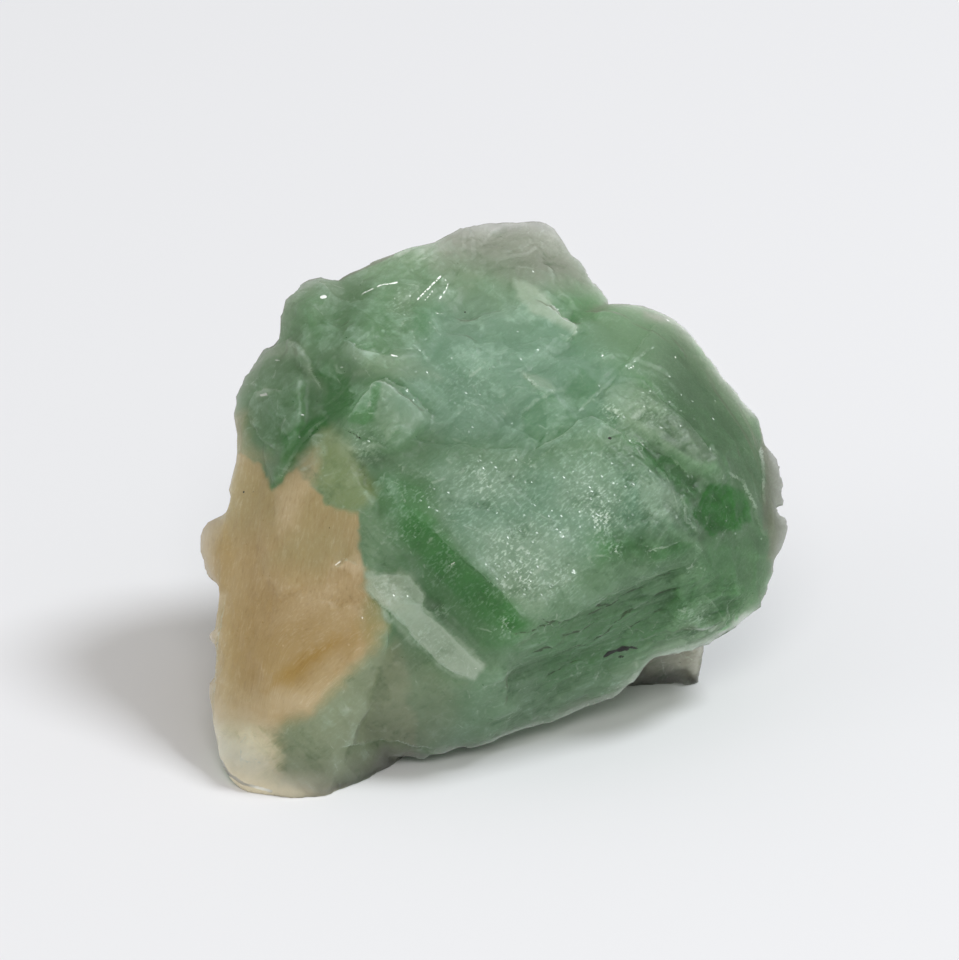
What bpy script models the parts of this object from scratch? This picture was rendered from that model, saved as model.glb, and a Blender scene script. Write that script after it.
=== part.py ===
"""A rough chunk of green fluorite with a tan zone, broken along its cleavage planes, on three feet.

The chunk is one natural piece. It is built from convex cleavage blocks that overlap, fused into one solid and
then given the ledges and lumps of a broken crystal.
"""

import math

import bmesh
import bpy
from mathutils import Matrix, Vector, noise

MM = 0.001

# Block corners are laid out on the chunk's show face, which leans back by LEAN. A corner is
# (across, up, toward): millimetres to the right, up along the show face, and out of it.
LEAN = math.radians(25)
CENTRE_HEIGHT = 21.0  # from the surface that the chunk rests on to the middle of the show face

VOXEL = 0.5
SMOOTHING_PASSES = 2
TRIANGLES = 9000
SKIN = -0.15  # put back what the voxels and the smoothing take off the corners

BASE_COLOUR = (0.13, 0.31, 0.19, 1.0)
IOR = 1.434

# The broken surface. Flakes are shallow tilted facets that meet in ridges; they are longer along the cleavage
# direction, whose angle above "across" is FLAKE_ANGLE. Ledges are broken steps that run the same way.
FLAKE_ANGLE = math.radians(-43)
FLAKE_SIZE = 6.0  # across a flake, in millimetres
FLAKE_STRETCH = 1.7
FLAKE_TILT = 0.22
FLAKE_DISH = 0.10

LEDGE_LENGTH = 14.0
LEDGE_WIDTH = 8.0
LEDGE_RISE = 0.2
LEDGE_LEVELS = 3
RISER = 0.3  # share of a ledge's width that its riser takes

BLOCKS = {
    # The main mass: the swelling front face, the prow below it and the undercut, grooved face on its right.
    "core": [
        (-11.0, 3.5, 10.2), (-9.2, -0.5, 13.0), (-4.0, -5.0, 14.8), (4.0, -12.2, 16.0), (3.0, 5.2, 10.4),
        (11.0, 8.2, 9.4), (17.0, 5.5, 9.2), (20.5, 1.0, 8.8), (20.8, -4.0, 9.0), (2.0, 1.0, 13.2),
        (9.0, 3.0, 12.8), (14.5, 1.5, 12.2), (-1.0, -4.0, 14.9), (6.0, -4.0, 15.2), (12.0, -4.0, 14.2),
        (3.5, -8.5, 15.8), (10.0, -8.5, 14.2), (16.0, -7.0, 11.8), (1.5, -15.0, 14.8), (-0.5, -24.3, 6.0),
        (5.5, -22.6, 2.6), (12.4, -20.3, -0.8), (17.2, -15.9, 1.7), (-10.0, 4.0, -16.0), (10.0, 8.0, -17.0),
        (18.0, -3.0, -16.0), (8.0, -12.0, -17.0), (-14.0, -10.0, -14.0), (-12.0, -14.0, 2.0),
    ],
    # The step face left of the prow, between the long edge and the ledge.
    "step": [
        (-9.2, -0.3, 12.7), (-4.0, -5.0, 14.5), (3.8, -12.2, 15.7), (1.5, -15.2, 14.5), (-13.0, -1.0, 10.6),
        (-13.0, 2.5, 9.4), (-12.6, -6.3, 11.6), (-11.5, -5.9, 11.9), (-6.0, -10.5, 12.6),
        (0.3, -15.7, 13.6), (-11.0, 3.5, 10.0), (-14.0, -4.0, 2.0), (0.0, -12.0, 6.0),
    ],
    # The pale ledge that runs down to the prow, and the drop below it to the front lip.
    "ledge": [
        (-12.6, -6.3, 11.6), (-11.5, -5.7, 12.1), (-6.0, -10.3, 12.9), (0.3, -15.3, 14.1),
        (-12.4, -8.0, 12.8), (-9.0, -10.6, 13.8), (-2.6, -16.8, 14.4), (-0.8, -17.4, 14.4),
        (1.6, -17.2, 14.2), (-16.5, -24.0, 8.6), (-13.0, -25.2, 7.4), (-7.7, -25.0, 6.6),
        (-4.5, -25.4, 7.0), (-2.0, -24.8, 6.4), (1.0, -23.8, 5.2), (4.0, -22.9, 3.2), (-16.0, -12.0, 2.0),
        (-5.0, -12.0, 0.0), (2.0, -18.0, 0.0), (-20.5, -22.0, 11.0), (-17.0, -16.0, 12.0),
    ],
    "peak": [
        (-5.2, 26.2, -7.0), (-3.0, 27.7, -8.0), (-1.0, 28.4, -9.0), (5.0, 28.3, -10.0), (6.4, 27.8, -10.0),
        (7.9, 24.4, -9.0), (8.8, 23.0, -8.5), (9.8, 22.7, -8.5), (12.2, 20.4, -8.0), (-2.0, 19.0, -1.5),
        (4.0, 20.0, -1.0), (9.0, 17.5, -0.5), (-6.0, 22.0, -15.0), (6.0, 23.0, -17.0), (10.0, 16.0, -17.0),
        (-8.0, 10.0, -17.0), (-2.0, 12.0, 3.5), (8.0, 11.0, 4.5),
    ],
    # The pale upper face that ends in a step above the saddle.
    "upper_face": [
        (-4.0, 18.5, -0.5), (5.0, 20.0, -0.5), (8.5, 17.6, 1.2), (9.8, 16.5, 1.8), (7.0, 10.5, 7.0),
        (5.0, 11.5, 7.0), (-5.0, 14.5, 4.0), (-6.0, 12.0, 5.5), (-2.0, 8.0, 8.2), (3.0, 7.0, 8.4),
        (-4.0, 14.0, -10.0), (6.0, 12.0, -10.0), (4.0, 2.0, 4.0),
    ],
    "left_shoulder": [
        (-15.0, 21.8, -5.5), (-11.2, 23.5, -6.0), (-9.2, 25.2, -7.0), (-7.0, 26.2, -7.5),
        (-5.3, 26.2, -7.5), (-3.0, 26.2, -7.8), (-14.0, 17.5, 2.5), (-6.0, 18.0, 1.5), (-14.5, 14.8, 5.0),
        (-9.0, 14.0, 5.5), (-4.0, 15.0, 3.0), (-16.0, 21.0, -12.0), (-4.0, 22.0, -15.0),
        (-14.0, 8.0, -14.0), (-4.0, 8.0, -8.0), (-12.0, 8.0, 3.0),
    ],
    "left_lump_high": [
        (-20.6, 20.4, -4.0), (-19.2, 21.4, -4.5), (-17.0, 21.9, -4.5), (-15.0, 21.6, -4.8),
        (-21.2, 19.4, -4.0), (-21.4, 17.0, -3.5), (-21.7, 15.8, -3.5), (-18.0, 18.5, 1.8),
        (-15.0, 16.0, 4.0), (-19.0, 14.5, 3.2), (-16.0, 12.0, 5.0), (-20.0, 18.0, -10.0),
        (-14.0, 18.0, -12.0), (-19.0, 8.0, -11.0), (-12.0, 10.0, -8.0),
    ],
    "left_lump_low": [
        (-23.8, 13.6, -4.0), (-23.2, 14.9, -4.0), (-22.0, 15.9, -3.5), (-23.6, 12.0, -4.0),
        (-24.6, 11.0, -3.5), (-25.6, 10.4, -3.5), (-26.0, 8.5, -3.0), (-22.0, 11.0, 2.0),
        (-19.0, 12.5, 4.2), (-19.0, 8.0, 6.5), (-22.5, 5.0, 4.0), (-21.5, 1.6, 5.6), (-25.9, 4.6, -2.0),
        (-22.0, 10.0, -10.0), (-23.0, 2.0, -10.0), (-15.0, 6.0, -8.0),
    ],
    # The dark hollow between the lumps on the left.
    "left_hollow": [
        (-21.0, 14.5, 0.5), (-14.0, 15.5, 3.6), (-12.5, 11.0, 5.8), (-14.0, 6.0, 8.0), (-18.5, 5.0, 6.4),
        (-20.5, 8.0, 4.0), (-18.0, 10.0, -6.0), (-12.0, 10.0, -6.0),
    ],
    # The saddle above the front face.
    "saddle": [
        (-15.0, 8.0, 7.0), (-13.0, 12.0, 5.5), (-5.0, 14.0, 4.5), (6.5, 14.6, 4.6), (13.0, 13.6, 5.0),
        (11.8, 9.0, 8.2), (19.0, 7.5, 6.9), (20.5, 3.0, 7.5), (11.0, 5.0, 9.0), (3.0, 4.5, 9.8),
        (-6.0, 3.5, 10.2), (-12.0, 3.0, 9.8), (-15.5, 3.5, 8.0), (-15.0, 4.0, -6.0), (20.0, 4.0, -6.0),
        (0.0, 10.0, -6.0),
    ],
    # A cube-like lump in the saddle, left of the middle.
    "saddle_lump": [
        (-14.2, 7.3, 8.8), (-12.8, 10.9, 7.6), (-10.5, 12.1, 7.2), (-8.8, 11.0, 7.8), (-6.0, 8.3, 8.8),
        (-9.0, 5.3, 10.7), (-12.5, 5.3, 10.2), (-15.2, 4.6, 9.2), (-15.0, 11.0, 3.0), (-6.0, 4.0, 5.0),
        (-14.0, 2.0, 2.0),
    ],
    # A second cleavage corner in the saddle, right of the middle.
    "saddle_block": [
        (5.5, 11.6, 6.6), (6.5, 11.3, 6.9), (10.5, 6.9, 9.8), (8.3, 5.5, 10.6), (2.8, 7.9, 9.6),
        (1.0, 6.3, 9.8), (6.0, 4.0, 6.0), (10.0, 9.0, 0.0), (2.0, 9.0, 2.0),
    ],
    # The pale rib that runs down to the right from the saddle.
    "right_rib": [
        (12.0, 10.6, 7.4), (15.5, 11.4, 7.0), (17.5, 9.8, 7.6), (21.0, 5.8, 7.8), (22.8, 3.6, 7.2),
        (20.5, 3.2, 9.2), (17.0, 5.8, 9.8), (13.0, 8.6, 9.2), (10.0, 12.0, 5.6), (14.0, 6.0, 2.0),
        (22.0, 2.0, 2.0),
    ],
    "right_shoulder": [
        (12.0, 20.0, -6.0), (13.2, 19.9, -5.5), (15.0, 19.8, -5.5), (16.8, 19.2, -5.5), (18.8, 18.1, -5.5),
        (20.6, 16.2, -5.5), (21.5, 14.4, -5.5), (22.6, 12.4, -5.5), (24.4, 10.9, -5.5), (26.2, 9.7, -5.5),
        (27.6, 8.4, -5.5), (28.2, 6.6, -5.5), (9.0, 18.0, 0.0), (8.5, 15.0, 3.6), (12.0, 14.5, 4.6),
        (16.0, 12.0, 6.2), (18.5, 9.5, 7.0), (22.5, 4.2, 7.0), (26.0, 1.0, 1.5), (12.0, 14.0, -16.0),
        (20.0, 8.0, -15.0), (26.0, 2.0, -11.0), (8.0, 4.0, -10.0),
    ],
    "right_face": [
        (19.5, 4.0, 8.3), (23.0, 3.6, 6.4), (25.5, 0.5, 3.0), (27.6, 5.5, -4.0), (28.0, 1.0, -3.0),
        (29.0, -4.0, -3.0), (28.9, -7.0, -3.0), (28.2, -9.6, -3.0), (27.1, -11.2, -2.5), (20.5, -4.0, 8.8),
        (24.0, -5.0, 5.0), (25.0, -8.5, 3.0), (19.0, -7.5, 9.0), (18.5, -12.0, 6.6), (22.0, -12.8, 3.0),
        (24.8, -13.1, -1.5), (24.0, 4.0, -12.0), (25.0, -8.0, -10.0), (16.0, -12.0, -10.0),
    ],
    # The thin lip along the foot of the undercut face, rising to the right.
    "right_lip": [
        (15.6, -16.9, 0.8), (17.0, -15.9, 1.3), (18.4, -15.2, 1.5), (20.4, -14.8, 0.6), (22.8, -14.7, -0.4),
        (24.3, -13.6, -1.2), (25.1, -12.2, -1.5), (20.5, -10.5, 5.4), (15.0, -12.0, 7.6), (12.0, -14.0, -4.0),
        (20.0, -12.0, -6.0),
    ],
    "edge_chip_high": [
        (27.4, 6.6, -4.5), (29.3, 5.2, -5.0), (30.1, 3.6, -5.0), (30.3, 1.4, -5.0), (29.8, -0.6, -5.0),
        (27.6, -1.2, -4.0), (27.0, 3.0, -2.5), (26.5, 0.5, -7.0), (26.5, 5.0, -8.0),
    ],
    "edge_chip_low": [
        (27.6, -0.9, -3.0), (29.6, -1.6, -4.0), (30.4, -2.5, -4.0), (29.9, -4.4, -4.0), (28.8, -6.2, -3.5),
        (27.0, -4.0, -2.0), (26.8, -3.0, -7.0),
    ],
    # The big tan face on the left, down to the foot that the chunk stands on in front.
    "tan_face": [
        (-25.2, 9.5, -3.5), (-25.1, 6.0, -2.5), (-24.9, 3.0, -1.5), (-25.0, 0.0, 0.0), (-27.3, -8.5, 2.5),
        (-28.0, -11.5, 3.5), (-28.1, -14.0, 4.0), (-28.0, -20.0, 6.5), (-27.3, -25.0, 9.0),
        (-26.8, -26.6, 9.6), (-25.6, -28.1, 11.2), (-23.8, -29.2, 12.2), (-19.5, -30.4, 13.2),
        (-16.5, -30.2, 12.8), (-21.8, 1.5, 5.0), (-19.0, 4.3, 6.5), (-17.0, 6.0, 7.5), (-14.5, 6.5, 8.5),
        (-13.0, -1.2, 11.0), (-12.3, -7.0, 12.5), (-9.8, -12.5, 14.8), (-10.0, -15.0, 14.5),
        (-14.0, -18.5, 15.0), (-17.5, -20.0, 15.2), (-22.0, -21.0, 14.0), (-22.0, 8.0, -12.0),
        (-24.0, -4.0, -12.0), (-22.0, -14.0, -10.0), (-8.0, -2.0, -10.0), (-8.0, -14.0, 2.0),
        (-20.0, -24.0, -2.0),
    ],
    "tan_knob": [
        (-25.2, -0.4, -1.0), (-27.0, -1.0, -1.0), (-28.7, -1.8, -1.0), (-29.5, -3.2, -1.0),
        (-29.7, -5.3, -1.0), (-29.3, -7.4, -0.5), (-28.9, -8.4, -0.5), (-26.9, -9.2, 0.5),
        (-25.0, -2.5, 2.0), (-25.0, -7.5, 2.5), (-24.0, -4.0, -6.0),
    ],
    # The part of the front foot that runs back under the lip.
    "front_foot": [
        (-20.0, -30.4, 12.8), (-16.5, -30.2, 12.6), (-13.4, -29.2, 10.2), (-9.6, -27.6, 6.5),
        (-7.6, -25.6, 3.0), (-17.5, -22.5, 14.0), (-13.0, -20.5, 12.0), (-9.0, -20.0, 4.0),
        (-22.0, -20.0, -2.0), (-12.0, -20.0, -4.0), (-22.0, -27.0, 4.0), (-14.0, -27.0, 0.0),
    ],
    "back_right_foot": [
        (12.8, -20.6, -10.8), (16.6, -20.9, -10.6), (20.3, -20.5, -10.8), (22.7, -14.0, -7.0),
        (19.5, -18.5, -15.5), (12.6, -18.5, -15.0), (23.0, -7.0, -8.0), (8.0, -15.5, -5.5),
        (6.0, -12.0, -15.0), (18.0, -6.0, -17.0), (12.0, -8.0, -1.5),
    ],
    "back_left_foot": [
        (-17.5, -17.0, -14.5), (-12.5, -17.2, -14.0), (-10.5, -16.0, -18.5), (-15.5, -15.6, -19.5),
        (-23.5, -8.0, -9.0), (-3.0, -13.5, -10.0), (-19.5, -3.0, -17.0), (-3.0, -6.0, -20.5),
        (-16.0, -14.5, -5.0), (-22.0, -5.0, -12.5),
    ],
    # The hidden side: a broad slab under everything in front, and a blunt broken hump behind it.
    "back_slab": [
        (-14.0, 17.5, -9.0), (-4.0, 21.0, -11.0), (6.0, 21.5, -12.0), (14.0, 16.0, -10.0),
        (21.5, 8.0, -9.0), (24.5, -2.0, -7.0), (21.0, -11.0, -6.0), (4.0, -18.5, -4.0),
        (-12.0, -18.5, -3.0), (-23.0, -14.0, -4.0), (-24.0, -4.0, -7.0), (-22.5, 8.0, -8.0),
        (-10.0, 13.5, -17.0), (5.0, 16.0, -18.5), (15.0, 8.0, -17.5), (-18.0, 4.0, -15.5),
        (-17.0, -8.0, -16.0), (19.0, -4.0, -15.5), (10.0, -12.0, -16.5), (0.0, 12.0, 2.0),
        (-16.0, 4.0, 0.0), (14.0, 0.0, 2.0),
    ],
    "back_hump": [
        (-13.0, 8.0, -16.5), (-4.0, 12.5, -19.0), (7.0, 11.0, -20.5), (13.5, 3.0, -19.5),
        (12.0, -6.0, -19.0), (2.0, -10.5, -20.5), (-9.0, -9.0, -20.0), (-15.5, -2.0, -18.0),
        (-3.0, 4.0, -22.5), (4.0, 1.0, -22.8), (8.0, 17.0, -14.0), (20.0, 5.0, -12.0), (20.0, -8.0, -10.0),
        (6.0, -15.5, -11.0), (-12.0, -13.5, -10.0), (-21.0, -2.0, -11.0), (-16.0, 12.0, -12.0),
        (-6.0, 16.5, -15.0),
    ],
}


def place(across, up, toward):
    """A point on the leaning show face, as a point in the world in metres."""
    lean_sin, lean_cos = math.sin(LEAN), math.cos(LEAN)
    return MM * Vector((
        across,
        up * lean_sin - toward * lean_cos,
        up * lean_cos + toward * lean_sin + CENTRE_HEIGHT,
    ))


def show_face(point):
    """The opposite of place: (across, up, toward) in millimetres of a point in the world."""
    lean_sin, lean_cos = math.sin(LEAN), math.cos(LEAN)
    height = point.z / MM - CENTRE_HEIGHT
    back = point.y / MM
    return Vector((
        point.x / MM,
        back * lean_sin + height * lean_cos,
        height * lean_sin - back * lean_cos,
    ))


def terrace(value, levels):
    """The value held flat at each level, with a short steep riser up to the next."""
    scaled = value * levels
    base = math.floor(scaled)
    climb = min(1.0, (scaled - base) / RISER)
    return (base - 0.5 + climb * climb * (3 - 2 * climb)) / levels


def along_cleavage(spot):
    """The place on the show face turned so that x runs along the cleavage direction."""
    turn_sin, turn_cos = math.sin(FLAKE_ANGLE), math.cos(FLAKE_ANGLE)
    return Vector((spot.x * turn_cos + spot.y * turn_sin, spot.y * turn_cos - spot.x * turn_sin, spot.z))


def flake_height(spot):
    """Height of the flakes at a place, in millimetres. The lowest of the nearest flakes makes the surface."""
    cell = Vector((spot.x / FLAKE_STRETCH, spot.y, spot.z)) / FLAKE_SIZE
    distances, centres = noise.voronoi(cell)
    heights = []
    for distance, centre in zip(distances, centres):
        tilt = noise.cell_vector(centre * 7.0) - Vector((0.5, 0.5, 0.5))
        heights.append(FLAKE_TILT * tilt.dot(cell - centre) + FLAKE_DISH * distance * distance)
    return FLAKE_SIZE * min(heights)


def ledge_height(spot):
    """Height of the broken steps at a place, in millimetres."""
    field = noise.noise(Vector((spot.x / LEDGE_LENGTH, spot.y / LEDGE_WIDTH, spot.z / LEDGE_LENGTH)))
    return LEDGE_RISE * terrace(field, LEDGE_LEVELS) * LEDGE_LEVELS


def roughness(point):
    """How far the surface stands out from its flat blocks at a point, in metres."""
    spot = along_cleavage(show_face(point))
    return MM * (SKIN + flake_height(spot) + ledge_height(spot))


def clear_scene():
    for item in list(bpy.data.objects):
        bpy.data.objects.remove(item)


def add_block(shape, corners):
    """Adds the convex hull of the corners to a bmesh."""
    points = [shape.verts.new(place(*corner)) for corner in corners]
    hull = bmesh.ops.convex_hull(shape, input=points, use_existing_faces=False)
    left_over = set(hull["geom_interior"] + hull["geom_unused"])
    unused = [item for item in left_over if isinstance(item, bmesh.types.BMVert)]
    bmesh.ops.delete(shape, geom=unused, context="VERTS")


def make_blocks():
    """All the blocks in one mesh, still overlapping."""
    shape = bmesh.new()
    for corners in BLOCKS.values():
        add_block(shape, corners)
    bmesh.ops.recalc_face_normals(shape, faces=shape.faces)
    mesh = bpy.data.meshes.new("blocks")
    shape.to_mesh(mesh)
    shape.free()
    return mesh


def evaluated_mesh(item):
    graph = bpy.context.evaluated_depsgraph_get()
    return bpy.data.meshes.new_from_object(item.evaluated_get(graph))


def fuse(item):
    """Melts the overlapping blocks into one even skin."""
    skin = item.modifiers.new("skin", "REMESH")
    skin.mode = "VOXEL"
    skin.voxel_size = VOXEL * MM
    ease = item.modifiers.new("ease", "SMOOTH")
    ease.factor = 0.5
    ease.iterations = SMOOTHING_PASSES
    mesh = evaluated_mesh(item)
    item.modifiers.clear()
    return mesh


def roughen(mesh):
    """Moves every vertex along its normal by the broken steps and lumps."""
    moved = [vertex.co + vertex.normal * roughness(vertex.co) for vertex in mesh.vertices]
    for vertex, place_now in zip(mesh.vertices, moved):
        vertex.co = place_now


def thin_out(item):
    """Fewer triangles, kept mainly at the edges."""
    triangles = sum(len(face.vertices) - 2 for face in item.data.polygons)
    fewer = item.modifiers.new("fewer", "DECIMATE")
    fewer.ratio = TRIANGLES / triangles
    mesh = evaluated_mesh(item)
    item.modifiers.clear()
    return mesh


def stand_flat(mesh):
    """Cuts the feet flat where they rest and closes the cuts."""
    shape = bmesh.new()
    shape.from_mesh(mesh)
    everything = shape.verts[:] + shape.edges[:] + shape.faces[:]
    bmesh.ops.bisect_plane(shape, geom=everything, plane_co=(0, 0, 0), plane_no=(0, 0, 1), clear_inner=True)
    rims = [edge for edge in shape.edges if edge.is_boundary]
    bmesh.ops.holes_fill(shape, edges=rims, sides=0)
    bmesh.ops.triangulate(shape, faces=shape.faces)
    bmesh.ops.recalc_face_normals(shape, faces=shape.faces)
    shape.to_mesh(mesh)
    shape.free()


def centre_on_footprint(mesh):
    """Slides the mesh so that the middle of its footprint is at the origin."""
    corners = [vertex.co for vertex in mesh.vertices]
    middle_x = (min(corner.x for corner in corners) + max(corner.x for corner in corners)) / 2
    middle_y = (min(corner.y for corner in corners) + max(corner.y for corner in corners)) / 2
    mesh.transform(Matrix.Translation((-middle_x, -middle_y, 0.0)))


def green_fluorite():
    material = bpy.data.materials.new("green_fluorite")
    material.use_nodes = True
    surface = material.node_tree.nodes["Principled BSDF"]
    surface.inputs["Base Color"].default_value = BASE_COLOUR
    surface.inputs["Roughness"].default_value = 0.3
    surface.inputs["IOR"].default_value = IOR
    surface.inputs["Subsurface Weight"].default_value = 0.6
    surface.inputs["Subsurface Radius"].default_value = (1.0, 1.4, 1.1)
    surface.inputs["Subsurface Scale"].default_value = 4.0 * MM
    return material


def make_chunk(collection):
    chunk = bpy.data.objects.new("fluorite", make_blocks())
    collection.objects.link(chunk)
    chunk.data = fuse(chunk)
    roughen(chunk.data)
    chunk.data = thin_out(chunk)
    stand_flat(chunk.data)
    centre_on_footprint(chunk.data)
    chunk.data.materials.append(green_fluorite())


def main():
    clear_scene()
    collection = bpy.data.collections.new("fluorite_specimen")
    bpy.context.scene.collection.children.link(collection)
    make_chunk(collection)


main()
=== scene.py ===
"""The look of a rough chunk of green fluorite: broken relief, colour zones, floor, lights and camera."""

import math

import bmesh
import bpy
import numpy as np
from mathutils import Matrix, Vector, noise


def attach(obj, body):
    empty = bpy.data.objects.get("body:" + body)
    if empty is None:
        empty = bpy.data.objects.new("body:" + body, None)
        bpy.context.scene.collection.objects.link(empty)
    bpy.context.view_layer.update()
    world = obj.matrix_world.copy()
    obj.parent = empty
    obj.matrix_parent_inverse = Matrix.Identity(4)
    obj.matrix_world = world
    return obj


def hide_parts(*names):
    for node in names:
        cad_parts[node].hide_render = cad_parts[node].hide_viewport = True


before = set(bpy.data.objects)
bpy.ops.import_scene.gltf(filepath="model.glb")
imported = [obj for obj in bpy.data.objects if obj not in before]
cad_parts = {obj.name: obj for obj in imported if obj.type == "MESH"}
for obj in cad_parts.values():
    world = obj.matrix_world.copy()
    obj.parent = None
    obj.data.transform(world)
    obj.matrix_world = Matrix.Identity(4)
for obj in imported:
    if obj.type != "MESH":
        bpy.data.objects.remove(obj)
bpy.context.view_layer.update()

MM = 0.001

# ---- The show face ---------------------------------------
# Places on the stone are given on its show face, which leans back by LEAN, in millimetres: across (to the
# right), up (along the face) and toward (out of it). CENTRE is that frame's origin in the row frame.
LEAN = math.radians(25)
LEAN_SIN, LEAN_COS = math.sin(LEAN), math.cos(LEAN)
CENTRE = Vector((-0.482, -0.247, 21.0)) * MM
ACROSS = Vector((1, 0, 0))
UP = Vector((0, LEAN_SIN, LEAN_COS))
TOWARD = Vector((0, -LEAN_COS, LEAN_SIN))


def on_show_face(points):
    """Row-frame points in metres as (across, up, toward) in millimetres."""
    axes = np.array([ACROSS, UP, TOWARD])
    return (points - np.array(CENTRE)) @ axes.T / MM


# ---- Fields over the stone -------------------------------
def field(spots, size, seed=0.0):
    """Smooth noise from about -1 to 1. size is its grain (mm), one number or one for each direction."""
    scaled = spots / np.array(size) + seed
    return np.array([noise.noise(spot) for spot in scaled.tolist()])


def turned(spots, degrees):
    """The spots turned on the show face so that x runs along a grain at this angle above across."""
    turn_sin, turn_cos = math.sin(math.radians(degrees)), math.cos(math.radians(degrees))
    across, up, toward = spots.T
    return np.stack([across * turn_cos + up * turn_sin, up * turn_cos - across * turn_sin, toward], axis=1)


def smooth_step(low, high, value):
    part = np.clip((value - low) / (high - low), 0, 1)
    return part * part * (3 - 2 * part)


def flakes(spots, size, tilt, dish, seed=0.0):
    """Shallow tilted facets that meet in ridges. size is across one facet in millimetres.

    Gives the height (mm), a tone from 0 to 1 for each facet, and how far the nearest ridge is (mm).
    """
    heights, tones, ridges = np.empty((3, len(spots)))
    for index, spot in enumerate((spots / np.array(size) + seed).tolist()):
        spot = Vector(spot)
        distances, centres = noise.voronoi(spot)
        found = []
        for distance, centre in zip(distances[:3], centres[:3]):
            lean = noise.cell_vector(centre * 7.0)
            height = tilt * (lean - Vector((0.5, 0.5, 0.5))).dot(spot - centre) + dish * distance * distance
            found.append((height, lean, centre))
        found.sort(key=lambda facet: facet[0])
        (lowest, lean, centre), (second, other_lean, other_centre) = found[:2]
        steepness = (tilt * (lean - other_lean) - 2 * dish * (centre - other_centre)).length
        heights[index], tones[index], ridges[index] = lowest, lean.x, (second - lowest) / max(steepness, 1e-6)
    return heights * min(size), tones, ridges * min(size)


def terraces(value, riser=0.25):
    """The value held flat at each whole number, with a steep riser up to the next."""
    base = np.floor(value)
    return base + smooth_step(0, riser, value - base) - 0.5


def inside(spots, outline):
    """How deep each spot is inside an outline on the show face, in millimetres; negative outside it."""
    across, up = spots[:, 0], spots[:, 1]
    nearest = np.full(len(spots), 1e9)
    within = np.zeros(len(spots), bool)
    for (x1, y1), (x2, y2) in zip(outline, outline[1:] + outline[:1]):
        length_squared = (x2 - x1) ** 2 + (y2 - y1) ** 2
        along = np.clip(((across - x1) * (x2 - x1) + (up - y1) * (y2 - y1)) / length_squared, 0, 1)
        nearest = np.minimum(nearest, np.hypot(across - x1 - along * (x2 - x1), up - y1 - along * (y2 - y1)))
        crosses = (y1 > up) != (y2 > up)
        within ^= crosses & (across < x1 + (up - y1) / (y2 - y1 if y2 != y1 else 1e-9) * (x2 - x1))
    return np.where(within, nearest, -nearest)


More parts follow.
